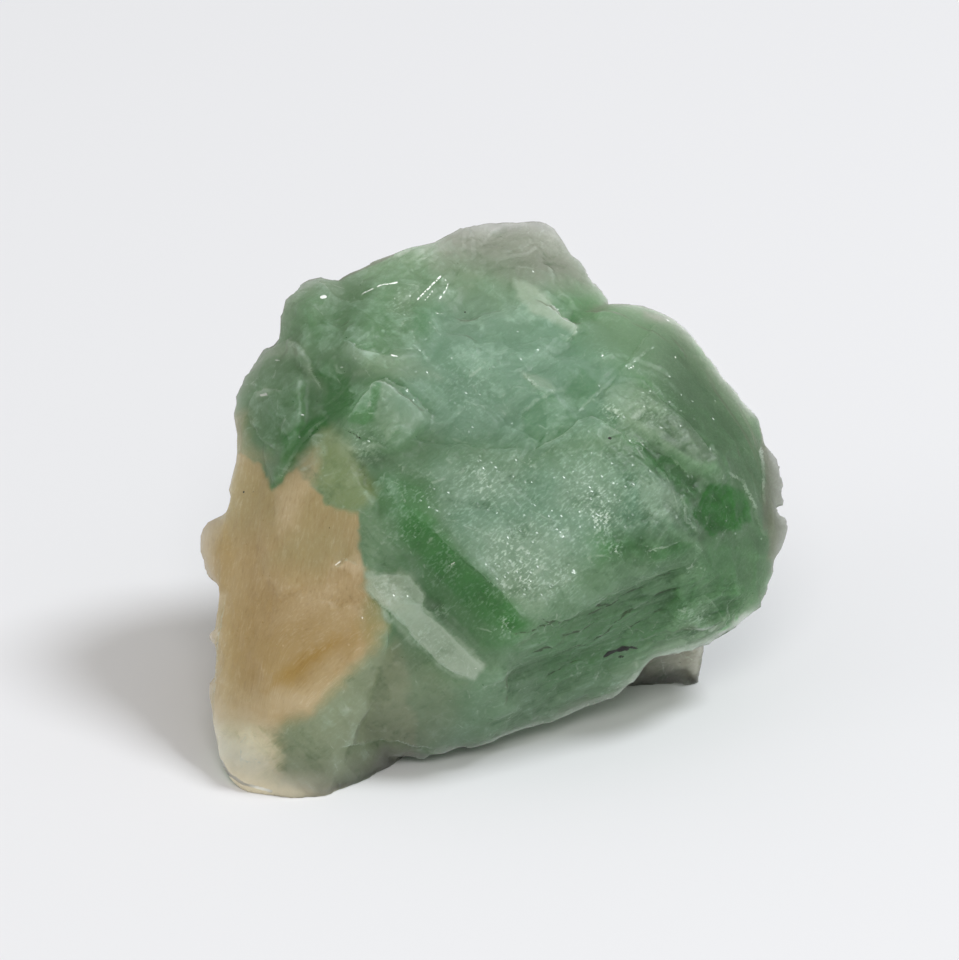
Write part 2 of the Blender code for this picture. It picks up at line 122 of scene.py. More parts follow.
# ---- Zones -----------------------------------------------
# Each zone: its kind of crystal, how strongly, how soft its border is (mm), where it shows ("show" side only,
# "all" round, or "behind" the front lip), and its outline on the show face. Two kinds are painted, not
# crystal:
# the lit-up front-left foot is painted light, and the shade kind is painted shade.
ZONES = [
    ("tan", 1, 0.25, "all", [
        (-31, 4.8), (-25, 4.8), (-22.8, 3.6), (-21.6, 1.2), (-20.4, 2.4), (-19.2, 3.4), (-17.8, 1.5),
        (-16, -0.6), (-13.3, -1.2), (-12.8, -4), (-12.5, -7), (-13.6, -11), (-16, -16), (-20, -21),
        (-31, -21.5)]),
    ("tan", 1, 1.1, "all", [
        (-14, -6), (-12.4, -7.8), (-10.8, -10.2), (-10.2, -12.5), (-11.6, -14.8), (-15, -18.2), (-17.6, -21),
        (-20.6, -22.2), (-31, -22.2), (-31, -15)]),
    ("tan", 0.65, 1.5, "all", [(-31, 9), (-25, 8.5), (-24.3, 5.5), (-22.5, 4.2), (-31, 4)]),
    ("cream", 0.5, 0.25, "all", [(-31, -9.6), (-26.3, -9.3), (-27.2, -15), (-27.4, -19.3), (-27.6, -27),
        (-31, -27)]),
    ("rust", 0.45, 0.4, "all", [(-31, -0.5), (-28, -1), (-26.2, -2), (-25.7, -6), (-26, -9), (-31, -9)]),
    ("olive", 0.2, 3, "all", [(-31, 6), (-20, 4), (-12, 0), (-12.5, -6), (-20, -4), (-26, -3), (-31, -2)]),
    ("olive", 0.25, 2, "all", [(-20, -2), (-14, -1.5), (-13, -5), (-17, -7.5), (-22, -6)]),
    ("olive", 0.8, 0.8, "show", [
        (-18.3, 5), (-16, 7.4), (-14, 5.8), (-12.8, 3.3), (-11.3, 1.3), (-12, -0.2), (-13.5, -1.4),
        (-16, -0.7), (-17.6, 1.6)]),
    ("deep", 0.3, 1, "show", [(-15.5, 3), (-12.5, 2.5), (-11.5, 0.5), (-14, -0.8), (-15.8, 0.2)]),
    ("cream", 0.55, 0.8, "show", [
        (-21.3, 0.9), (-20.2, 2.6), (-18.6, 4.4), (-17, 5.2), (-17, 3), (-18.3, 0), (-19.5, -2.5),
        (-21, -3)]),
    ("rust", 1, 1, "show", [
        (-22.6, -18.8), (-20.8, -16.8), (-18, -14.8), (-15.2, -13.2), (-14.2, -13.8), (-16.6, -15.8),
        (-19.2, -17.8)]),
    ("rust", 0.4, 1.2, "show", [(-16.4, -13.8), (-13, -11.8), (-10.2, -12), (-11.4, -13.6), (-14.6, -15.2)]),
    ("cream", 0.4, 0.8, "show", [(-24.5, -20.2), (-22, -18.9), (-18.4, -18.6), (-16.6, -17.6),
        (-17.4, -19.4), (-20, -20.6)]),
    ("olive", 0.5, 1, "show", [(-12.2, -9), (-10.6, -10.2), (-9.8, -12.4), (-11.6, -14.4), (-12.6, -12.4)]),
    ("rust", 0.35, 3, "show", [(-27, -11), (-21, -9), (-17, -13), (-20, -18), (-25, -21), (-27.5, -21)]),
    ("cream", 0.55, 1.2, "show", [(-26, -18), (-21, -18.6), (-17, -18.6), (-17.5, -20.8), (-26, -21)]),
    ("cream", 0.7, 0.35, "show", [(-15.4, -6.6), (-13, -5.3), (-12.5, -6.5), (-13.2, -7.7), (-14.3, -6.9)]),
    ("cream", 0.35, 0.9, "show", [(-23, -11.6), (-18, -9.2), (-13.6, -8), (-17, -11), (-22, -13.4)]),
    ("grey", 0.9, 1, "all", [
        (-20.9, -22.4), (-18.8, -21.4), (-15.6, -18.8), (-13, -16.4), (-11, -14.6), (-9, -13.6), (-8, -16),
        (-7.6, -19), (-7, -22), (-7, -25), (-9, -30), (-20, -33), (-21, -33)]),
    ("grey", 0.45, 2, "all", [(-9, -13.6), (-5, -16), (-3, -18), (-3.6, -22), (-6, -25), (-9, -25)]),
    ("grey", 0.9, 1.5, "behind", [(-26, -14), (-6, -14), (-6, -33), (-26, -33)]),
    ("deep", 0.45, 0.5, "all", [(-20.6, -22.4), (-17.4, -22), (-16.8, -23.4), (-19, -23.9),
        (-20.2, -23.6)]),
    ("cream", 0.8, 1.2, "all", [(-31, -19.4), (-25, -19.8), (-20.8, -21.8), (-20.8, -24), (-21, -27),
        (-31, -27)]),
    # Painted light: the front-left foot lit up by light shining through it, on top of its pale colour.
    ("painted_glow", 1, 2.2, "all", [(-31, -23.5), (-24.5, -23), (-22, -24.5), (-21.6, -28), (-20.4, -33),
        (-31, -33)]),
    ("painted_glow", 0.5, 0.6, "all", [(-21.4, -28.2), (-16, -28.6), (-13, -28.3), (-12, -33), (-22, -33)]),
    ("mauve", 0.7, 0.8, "all", [(-10.6, -24.6), (-7.6, -24.2), (-6, -26), (-10, -28), (-12, -26.6)]),
    ("cream", 0.3, 0.8, "show", [(-12.4, -7.2), (-9, -7.4), (-8, -10.5), (-10.5, -10.8)]),
    ("pale", 0.75, 0.3, "show", [
        (-12.6, -6.9), (-9, -7), (-8, -7.3), (-6.4, -9.2), (-6.4, -10.9), (-4.2, -12.5), (-2.4, -14.4),
        (-0.5, -16.4), (-1.7, -17.8), (-3.4, -17.3), (-5.8, -15.9), (-8.1, -13.4), (-10.4, -11),
        (-12.3, -8.8)]),
    ("deep", 0.85, 0.9, "show", [
        (-9.6, 0.2), (-7.4, -0.6), (-5.4, -1.9), (-2.4, -5.6), (0.2, -8.2), (4, -12.2), (2.4, -13.4),
        (-0.6, -12.4), (-3, -10.4), (-5.4, -7.8), (-7.6, -5.6), (-8.9, -3.2)]),
    ("deep", 0.55, 1.2, "show", [(-12.8, 2.2), (-9.5, 2.6), (-6, 1.6), (-5.4, -1.9), (-8.9, -3.2),
        (-11.4, -0.8)]),
    ("deep", 0.5, 0.7, "show", [
        (-10.5, 0), (-9, -1.5), (4, -12.5), (2.5, -14.8), (-0.5, -14.6), (-3.4, -11.8), (-6.3, -9.4),
        (-7.4, -6.4), (-8.8, -3)]),
    ("deep", 0.4, 0.8, "show", [(-13, -1.4), (-10.6, -1.2), (-8.8, -3), (-7.8, -6.8), (-9, -7.2),
        (-12.6, -7)]),
    ("pale", 0.22, 0.8, "show", [(-12.9, -1.6), (-10.8, -1.4), (-9.2, -4), (-9, -7), (-12.6, -7)]),
    ("deep", 0.6, 1.3, "show", [
        (9.8, -3.6), (11, -3), (13.6, -3.8), (16.6, -4.4), (15.4, -5.4), (12.9, -5.4), (10.9, -6.1)]),
    ("deep", 0.5, 0.4, "show", [(15.7, -4.9), (18.6, -4.3), (19.8, -4.8), (17.6, -6), (15.9, -5.9)]),
    ("deep", 1, 0.25, "show", [
        (20.5, 0.6), (22.7, 1.8), (24.9, 1.3), (26, -0.3), (26.3, -2), (24.9, -2.9), (21.6, -3.5),
        (20.2, -1.4)]),
    ("deep", 0.8, 0.6, "show", [
        (13, 6.2), (15.4, 5.4), (17.8, 4.4), (19.2, 3), (21, 1.4), (19.6, -0.3), (18, 1.9), (14.8, 3.9)]),
    ("deep", 0.65, 0.9, "show", [
        (-16.1, 14.1), (-14.5, 13.1), (-13, 11), (-14, 8.4), (-15.8, 7.8), (-17.1, 8.1), (-16.6, 10.5),
        (-17.4, 12.6)]),
    ("deep", 0.8, 0.5, "show", [
        (-16.4, 8.6), (-18.4, 7.8), (-20.8, 6.4), (-21, 3.5), (-22, 0.9), (-20.4, 2.6), (-18.2, 5.6),
        (-16.2, 7.2)]),
    ("deep", 0.3, 1.2, "show", [(-22.6, 8.6), (-20, 11), (-17.5, 11), (-17, 8), (-20.8, 5), (-22.4, 6.4)]),
    ("deep", 0.3, 1.2, "show", [(-18.4, 20.4), (-16.8, 21), (-15, 19), (-14.5, 16.6), (-17.6, 15.4),
        (-19, 17)]),
    ("deep", 0.3, 1.8, "show", [(-14.5, 20), (-10, 20.5), (-8.6, 17.5), (-10.5, 15.2), (-14.4, 16.2)]),
    ("deep", 0.5, 0.4, "show", [(-14.4, 16.3), (-12.8, 16.4), (-11.2, 15.2), (-12.2, 14.75), (-13.3, 15.1)]),
    ("deep", 0.35, 0.8, "show", [(-7.6, 19.6), (-6, 20.4), (-5, 19.4), (-6.4, 16.4), (-7.6, 16.4)]),
    ("pale", 0.22, 2.5, "show", [(-5, 25), (2, 26), (6, 22), (4, 18), (-4, 17)]),
    ("deep", 0.3, 0.6, "show", [(5.9, 19.9), (11.8, 20.2), (12.6, 19.2), (8.9, 17.5), (7, 18.5)]),
    ("deep", 0.3, 0.2, "show", [
        (2.8, 8.7), (5.8, 10.6), (6.3, 10.5), (7.3, 9.5), (8.6, 8.2), (6.5, 6.3), (4.8, 5.7), (3.2, 6.4)]),
    ("deep", 0.3, 0.4, "show", [(6.8, 10.7), (9, 13.2), (11.4, 11.4), (8.6, 8.9), (7.5, 9.9)]),
    ("deep", 0.55, 0.25, "show", [(-14.2, 7.9), (-12.5, 10.6), (-11.2, 11.9), (-10.9, 10.7), (-11.5, 7.9),
        (-12.8, 7.2)]),
    ("deep", 0.4, 2, "show", [(15, 11.4), (18, 9.8), (22.6, 5.4), (26, 1.5), (28, 0), (27, 6), (22, 10)]),
    ("deep", 0.35, 2.5, "show", [(19, 16), (24, 11), (27, 8), (28, 4), (25, 6), (20, 11)]),
    ("deep", 0.45, 2.5, "show", [(4, -14), (12, -10.5), (20, -8), (26, -9), (24, -13), (16, -16), (6, -19)]),
    ("deep", 0.5, 2, "all", [(21, -4), (29, -2), (29, -12), (24, -12), (20.5, -8)]),
    ("blue", 0.9, 2.5, "show", [(-6, 20), (5, 21), (9, 17), (14, 12), (12, 8), (4, 5), (-4, 6), (-10, 10),
        (-8, 14)]),
    ("blue", 0.9, 2.5, "show", [(-5, 3.5), (3, 3.5), (10, 4), (17, 2), (19, -2), (10, -4), (6, -9), (0, -7),
        (-4, -2)]),
    ("pale", 0.22, 1.6, "show", [(-4.5, 3), (-1, 3.8), (2.6, 3.2), (3, 0.4), (-1, -0.4), (-4, 0.6)]),
    ("pale", 0.3, 1.6, "show", [(-1.5, -2.5), (4, -2.4), (8, -3), (8, -8), (5, -10.6), (1.6, -9),
        (-0.5, -6)]),
    ("pale", 0.22, 1.6, "show", [(7, 3), (10.5, 3.6), (13, 1), (12.5, -2.4), (9.5, -2.6), (6.8, 0)]),
    ("pale", 0.3, 0.6, "show", [(14.6, 2.6), (17.5, 1.8), (19.2, -0.5), (18.8, -2.4), (16, -2), (14.5, 0)]),
    ("pale", 0.28, 0.8, "show", [
        (11, 11.2), (14, 11.8), (16.3, 10.2), (19, 7.6), (22.6, 4.1), (20.6, 4), (18, 5), (15, 6.6),
        (12.6, 8)]),
    ("pale", 0.7, 0.5, "show", [
        (2.1, 22.8), (3.4, 22.3), (6.2, 19.9), (6.9, 18.9), (8.7, 17.4), (8.4, 16.6), (6.4, 17.6),
        (4.2, 18.9), (2.6, 19.9)]),
    ("pale", 0.35, 0.3, "show", [(3.2, 12.9), (4.8, 12.6), (6.6, 10.9), (5.6, 10.6), (4.2, 10.9)]),
    ("pale", 0.16, 0.3, "show", [(-10.9, 11.9), (-9.1, 11.5), (-8.4, 10.5), (-9.1, 7.9), (-10.4, 5.9),
        (-11.2, 8.5)]),
    ("pale", 0.14, 0.3, "show", [(-8.4, 10.6), (-5.4, 8.1), (-7.4, 7.2), (-9, 7.4)]),
    ("pale", 0.35, 0.8, "show", [(-15.4, 6.4), (-12.6, 6), (-10.8, 5.4), (-10.9, 4.2), (-13, 3.8),
        (-14.6, 4.8)]),
    ("pale", 0.4, 0.5, "show", [
        (-23.8, 13.4), (-21.5, 15.6), (-19.8, 16.2), (-18.8, 15.4), (-18.2, 14), (-19.4, 14.3), (-21, 14.2)]),
    ("pale", 0.3, 0.4, "show", [(-18.7, 14.6), (-17.9, 13), (-17.2, 11.9), (-16.3, 10.7), (-17.3, 11.2),
        (-18.6, 13.2)]),
    ("pale", 0.45, 0.3, "show", [(-23.4, 10.9), (-22.6, 11.3), (-21.4, 10.9), (-22.4, 10.2), (-23.4, 10.2)]),
    ("pale", 0.32, 0.9, "show", [
        (-14.2, 15.4), (-12, 14.5), (-8.6, 14.4), (-5.6, 13.4), (-5, 12), (-9.5, 12.2), (-13, 12.7)]),
    ("pale", 0.15, 1, "show", [
        (20.4, -9.8), (21.3, -9.4), (23, -11), (23.3, -12.4), (21, -14), (18, -15), (16.4, -15.4),
        (18.6, -11.6)]),
    # Painted shade: the thin chips at the right end darkened against the key light shining through them.
    ("shade", 0.4, 0.4, "all", [(27.2, 7), (31, 6), (32, -6), (28.2, -7), (27.6, -1)]),
    ("grey", 0.6, 0.4, "all", [(27.2, 7), (31, 6), (32, -6), (28.2, -7), (27.6, -1)]),
    ("pale", 0.2, 1, "show", [(-9, 20.6), (-7, 21.4), (-4.4, 22), (-3.6, 19.4), (-8, 19.2), (-10, 19.4)]),
    ("mauve", 0.75, 2.2, "all", [(-7, 30), (8, 30), (10, 22), (5, 21.5), (0, 23.5), (-5, 24)]),
    ("mauve", 0.7, 0.5, "show", [(15.6, 18.9), (17.8, 18.3), (17.4, 17.9), (15.6, 18.3)]),
    ("mauve", 1, 0.5, "behind", [(6, -12), (30, -9), (30, -24), (6, -24)]),
    # Painted shade on the back-right foot under the front lip.
    ("shade", 1, 1.5, "behind", [(16.5, -8), (30, -8), (30, -24), (20.8, -24), (19.2, -18)]),
    ("shade", 0.6, 1.5, "behind", [(6, -10), (24, -8), (24, -15), (6, -14)]),
    ("shade", 0.2, 0.5, "behind", [(6, -12), (30, -9), (30, -24), (6, -24)]),
]
# Broad clouds in the stone: how much paler (or deeper, below 0), their radius (mm) and their middle. Some are
# painted light and shade: the deeper ones at the right end darken where the key light falls, and some paler
# ones lift shaded hollows.
CLOUDS_AND_PAINTED_LIGHT = [
    (0.2, 9, (-10, 18)), (0.15, 8, (-2, 9)), (0.15, 7, (6, 8)), (-0.22, 9, (25, 0)), (-0.2, 8, (24, -9)),
    (-0.15, 6, (18, 3)), (-0.22, 5, (20, 14)), (0.15, 5, (2, 16)), (-0.15, 6, (16, -10)),
    (-0.15, 5, (-11.5, 8.5)), (-0.1, 7, (16, 0)),
    (-0.2, 4, (28, 8)),
    (-0.3, 4, (22, 17)), (0.15, 4, (30, -6)), (-0.25, 4, (25, -13)), (0.25, 4, (-15.5, 10)),
    (-0.05, 5, (3, 28)), (0.25, 2.5, (-11, 1.2)),
    (0.12, 2.5, (-7, -10)), (0.35, 3, (18, 2.5)), (0.15, 3, (23.5, -0.5)), (0.15, 4, (17.5, 15)),
    (0.12, 4, (22, -6)), (0.1, 5, (3, 17)), (0.08, 5, (11, -13.5)), (0.1, 4, (-9, -19.5)),
    (0.12, 4, (-24, 7)),
]
# Places that glitter: how strongly, their radius (mm) and their middle.
SPARKLING = [
    (0.5, 2.6, (-0.5, 1.9)), (0.5, 1, (4, 3.6)), (0.6, 3.2, (10, -0.4)), (0.7, 3.2, (3, -5.2)),
    (1, 1.8, (2.7, -8)), (1, 1.5, (10.8, -2)), (0.8, 0.8, (12.3, -4.9)), (0.8, 1.1, (12, 8.7)),
    (0.8, 1.3, (-12.2, 5.4)), (0.9, 0.9, (1.5, -12.2)), (0.6, 0.9, (-0.6, -10.6)), (0.6, 0.8, (-4.8, -11)),
    (0.6, 0.8, (-6.3, 0.4)), (0.5, 1.2, (-8.9, 20)), (0.5, 1.2, (-7.8, -2.6)), (0.3, 2.5, (16.2, 9)),
    (0.35, 0.8, (14, 13.2)), (0.5, 0.8, (-3.6, -6.3)), (0.5, 1, (-6.6, -13.4)), (0.5, 1, (-8.6, -9)),
    (0.35, 3, (-3, 11.5)), (0.3, 1.5, (20, -11.5)), (0.6, 1.6, (-10.6, -8.8)),
    (0.3, 2, (-8.2, -2.6)), (0.3, 2.2, (-4.2, -6.4)), (0.3, 2, (-1.4, -9.8)), (0.3, 1.6, (-9.5, 1)),
    (0.4, 1.6, (-4.6, -14.4)), (0.35, 2.2, (7.5, -3)), (0.4, 2, (6.5, -7.5)), (0.3, 0.8, (11.3, 14.4)),
]
# Where zones overlap, a later kind covers an earlier one.
KINDS = ("blue", "deep", "grey", "mauve", "tan", "olive", "cream", "painted_glow", "rust", "pale", "shade")


def spread(spots, radius, middle):
    """How near each spot is to a place on the show face: 1 there, fading out over the radius (mm)."""
    across, up = middle
    return np.exp(-((spots[:, 0] - across) ** 2 + (spots[:, 1] - up) ** 2) / radius**2)


def zone_weights(spots, facing):
    """For each kind of zone, how much of it there is at each spot."""
    wander = np.stack([field(spots, 2.6, 3.1), field(spots, 2.6, 17.7)], axis=1) * 0.45
    wander += np.stack([field(spots, 0.9, 5.3), field(spots, 0.9, 23.9)], axis=1) * 0.30
    moved = spots.copy()
    moved[:, :2] += wander
    shown = {
        "all": 1.0,
        "show": smooth_step(-0.3, 0.1, facing),
        "behind": smooth_step(-2.5, -4.0, spots[:, 2]),
    }
    weights = {kind: np.zeros(len(spots)) for kind in KINDS}
    # Clouds: partly the stone's own tone, partly painted light and shade.
    weights["cloud"] = sum(strength * spread(moved, radius, middle) for strength, radius, middle in CLOUDS_AND_PAINTED_LIGHT)
    weights["sparkle"] = shown["show"] * np.maximum.reduce([
        strength * spread(moved, radius, middle) for strength, radius, middle in SPARKLING])
    for kind, strength, softness, where, outline in ZONES:
        weight = strength * smooth_step(-softness, softness, inside(moved, outline)) * shown[where]
        weights[kind] = np.maximum(weights[kind], weight)
    return weights


# ---- Broken edges ----------------------------------------
# Each edge: height (mm), how far the raised side slopes back (mm), how pale its rim is (a painted highlight),
# and its line on the show face. The raised side is on the left of the line's direction.
EDGES = [
    (0.35, 3, 0.1, [(-8.8, -0.3), (-6.1, -2.5), (-2.1, -6.2), (0.2, -8.1), (4, -12.1)]),
    (0.3, 1.6, 0.3, [
        (-0.8, -16.4), (-4.4, -12.7), (-6.7, -10.9), (-6.6, -9.3), (-8.2, -7.4), (-10.7, -7.3),
        (-12.4, -7.4)]),
    (0.4, 1.6, 0.3, [(-12.4, -8.6), (-10.2, -10.6), (-7.9, -12.9), (-5.6, -15.5), (-3.4, -17),
        (-1.8, -17.5)]),
    (0.2, 3, 0.15, [(4, -12.1), (7.9, -11.6), (11, -9.6), (12.9, -9), (15.7, -7.7), (20, -6.2)]),
    (0.15, 1, 0.35, [(15.3, -5), (17.2, -4.5), (19.1, -3.9)]),
    (0.3, 3, 0.3, [(14.6, 5), (12.4, 7), (10.1, 8.3), (8.7, 8), (6.8, 6.4), (3.4, 4.5)]),
    (0.2, 1.5, 0.5, [(3.2, 12.9), (4.3, 11.7), (5.4, 10.7), (6.6, 10.9)]),
    (0.3, 1.5, 0.2, [(2.7, 8.6), (4.4, 9.9), (5.8, 10.6), (6.6, 10.9)]),
    (0.1, 2, 0.2, [(8.4, 8.7), (11.5, 11.5), (16.3, 15.4)]),
    (0.45, 2.5, 0.5, [(8.8, 17.4), (7, 18.5), (5.9, 19.7)]),
    (0.35, 2, 0.4, [(7.4, 15.8), (8.4, 16.6), (8.8, 17.4)]),
    (0.4, 3, 0.15, [(-9.5, 14.5), (-11.9, 14.6), (-13.2, 15), (-14.3, 15.9)]),
    (0.45, 2.5, 0.25, [
        (-16.3, 10.7), (-17.3, 11.8), (-17.9, 12.8), (-18.2, 13.9), (-18.9, 15.2), (-20, 16.1), (-21.4, 15.4),
        (-23.6, 13.6)]),
    (0.3, 2, 0.3, [(-20.6, 10.8), (-21.8, 11.1), (-22.7, 11.2), (-23.6, 10.8), (-24.1, 9.9),
        (-24.3, 8.9)]),
    (0.3, 2, 0.15, [(-24.3, 8.9), (-23.6, 7.4), (-22.8, 6.1), (-21.8, 5.3), (-20.9, 4.8)]),
    (0.35, 2, 0.2, [(-21.8, 1.2), (-20.2, 3.2), (-19, 5.2), (-17.6, 7), (-15.8, 8.4)]),
    (0.4, 2.5, 0.25, [(-5.4, 8.1), (-8.8, 11.3), (-10.4, 12.1), (-11.1, 11.9), (-12.4, 10.7), (-14.3, 7.9)]),
    (0.25, 2, 0.15, [(-14.5, 7.4), (-12.4, 6.3), (-10.4, 5.7), (-8.8, 7.4)]),
    (0.12, 2.5, 0.2, [(13.4, 6.3), (16, 5.2), (18.2, 4.1), (20, 2.2)]),
    (0.18, 2, 0.2, [(22.8, 3.9), (21.4, 5.6), (19.7, 7.6), (16.8, 10.2), (15.1, 11.9), (12.6, 12.2)]),
    (0.12, 1.5, 0.2, [(18.8, 0.8), (19.3, -0.6), (19.2, -1.8), (20.6, -3.2)]),
    (0.2, 1.5, 0.3, [(23.4, 3), (25.2, 1.9), (26.3, -0.3), (26.7, -2), (27.6, -3.8)]),
    (0.15, 1, 0.4, [(27.2, 5.8), (27.4, 2.5), (27.5, -0.9)]),
    (0.15, 2, 0.15, [(23.3, -12.2), (22.4, -10.6), (21.2, -9.5), (20.2, -9.9), (18.6, -11.4)]),
    (0.3, 1.5, 0.5, [(-15, -24.4), (-12.2, -23.9), (-9.7, -23.7), (-7.9, -24.2), (-5.4, -24.6)]),
    (0.15, 1, 0.3, [(-26.3, -9.3), (-27.2, -15), (-27.4, -19.3), (-27.6, -25.8)]),
    (0.2, 1.2, 0.4, [(-13, -6.4), (-14.2, -5.8), (-15.3, -6.6)]),
    (0.2, 3, 0.1, [(17, 18.2), (15, 15.5), (11, 10)]),
    (0.2, 2, 0.05, [(4, 5), (-2, 5.3), (-8, 6)]),
]
# Thin dark cracks.
CRACK_WIDTH = 0.16
CRACKS = [
    [(4.9, -11.6), (6, -12.1), (8.1, -12)], [(2, -13.3), (4.3, -12.8), (6, -12.3), (8.9, -11.9)],
    [(9.4, -11.7), (11.3, -10.9), (13, -10)], [(9.2, -14.4), (11.3, -13.4), (12.4, -12.2)],
    [(15.4, -8), (16.8, -7.6), (18.2, -7.3)], [(12, -12.1), (13.4, -11.2), (14.6, -10.4)],
    [(6.4, -15.6), (8.6, -14.6), (10, -14.2)], [(15.8, -9.8), (17.6, -9), (19, -8.7)],
    [(7, -13.4), (9, -12.9), (10.4, -12.2)], [(13, -9.6), (14.4, -9), (15.4, -8.8)],
    [(4, -15.2), (5.4, -14.6), (6.2, -14.5)], [(10.4, -10.9), (12, -10.3)], [(13.6, -13),
        (15.2, -12.2)],
    [(8, -16.6), (9.6, -15.9)], [(16.2, -11.4), (17.4, -10.8)], [(5.6, -17.6), (7.6, -16.8)],
    [(-14.5, 7), (-13.6, 6.6), (-12.7, 6.1)], [(-12.6, 2.9), (-12.2, 2.4)],
]
# Bright scratches and chips that face the key light: width (mm) and line. Their pale colour is a painted
# glint, and the last is a painted line of light along the bottom edge of the front-left foot.
SPARKS = [
    (0.34, [(-16.85, 20.2), (-16.5, 20.25)]), (0.14, [(-9.65, 20.2), (-9.5, 20.2)]),
    (0.12, [(-16.6, 15.6), (-16.5, 15.5)]), (0.2, [(-9.9, 14.55), (-9.2, 14.4)]),
    (0.12, [(-6.8, 14.8), (-6.6, 14.75)]), (0.13, [(-14.9, 13.2), (-14.6, 13.2)]),
    (0.14, [(-21.5, 13.9), (-21, 13.9)]), (0.13, [(-18.8, 8.45), (-18.5, 8.45)]),
    (0.24, [(-23, 10.5), (-22.4, 10.6)]), (0.13, [(-13, 20.6), (-11.6, 21.2)]),
    (0.15, [(-11.4, 21.3), (-9.3, 21.9)]), (0.2, [(-7.2, 20.2), (-6, 21.4), (-4.9, 22.6)]),
    (0.15, [(-6.6, 19.9), (-5.6, 21.1)]), (0.14, [(-5.3, 19.7), (-4.6, 20.8), (-4.2, 21.7)]),
    (0.1, [(-5.6, 18.7), (-4.6, 18.7)]), (0.12, [(17.6, 18.3), (18, 18)]), (0.13, [(18.5, 14.4),
        (18.6, 14.2)]),
    (0.16, [(13.8, 13.1), (14.3, 13.3)]), (0.12, [(11.1, 14.4), (11.3, 14.4)]),
    (0.13, [(-15.3, -6.4), (-14.4, -5.7)]), (0.13, [(-6.6, -12.9), (-6.3, -13.2)]),
    (0.14, [(-2, -16.4), (-1.3, -16.5)]), (0.16, [(-4, -6.4), (-3.5, -6.1)]),
    (0.3, [(-26.6, -25.8), (-25.9, -27), (-24.2, -28), (-21.5, -28.7)]),
]
# Black grains: size (mm) and place.
SPECKS = [
    (0.2, (-2.5, 18.8)), (0.18, (0, 13)), (0.17, (-7.6, 12.1)), (0.22, (4.2, 11.6)), (0.34, (11.8, 6.1)),
    (0.18, (-6.1, -8)), (0.18, (-13, 6.3)), (0.16, (-2, 13)), (0.2, (-24.6, 0.8)),
    (0.16, (-15.9, -2.7)), (0.16, (-23.6, 0.8)),
]
# The black inclusion on the undercut face: width (mm) and line.
INCLUSIONS = [
    (0.42, [(11.5, -15.95), (12.2, -15.45), (13, -15.3)]), (0.55, [(12.7, -15.4), (13.5, -15),
        (14, -15.2)]),
    (0.26, [(13.6, -14.8), (14.3, -14.85), (14.9, -15)]), (0.2, [(12.9, -16), (13.5, -15.8)]),
]


def along_line(spots, line):
    """Each spot's distance from a line on the show face, its side (1 is left), and how far along it is."""
    across, up = spots[:, 0], spots[:, 1]
    nearest, side, place = np.full(len(spots), 1e9), np.ones(len(spots)), np.zeros(len(spots))
    lengths = [math.dist(start, end) for start, end in zip(line, line[1:])]
    done = 0.0
    for (x1, y1), (x2, y2), length in zip(line, line[1:], lengths):
        run = ((across - x1) * (x2 - x1) + (up - y1) * (y2 - y1)) / length**2
        share = np.clip(run, 0, 1)
        gap = np.hypot(across - x1 - share * (x2 - x1), up - y1 - share * (y2 - y1))
        left = (x2 - x1) * (up - y1) - (y2 - y1) * (across - x1)
        closer = gap < nearest
        nearest = np.where(closer, gap, nearest)
        side = np.where(closer, np.sign(left), side)
        place = np.where(closer, (done + share * length) / sum(lengths), place)
        done += length
    return nearest, side, place


def tapered(place):
    """The width of a mark along its line, from 0 at its ends to 1 in its middle."""
    return np.sqrt(np.clip(4 * place * (1 - place), 0, 1))


def near(spots, line, margin):
    """Which spots lie within a margin of a line's box."""
    low, high = np.min(line, axis=0) - margin, np.max(line, axis=0) + margin
    return np.flatnonzero(((spots[:, :2] > low) & (spots[:, :2] < high)).all(axis=1))


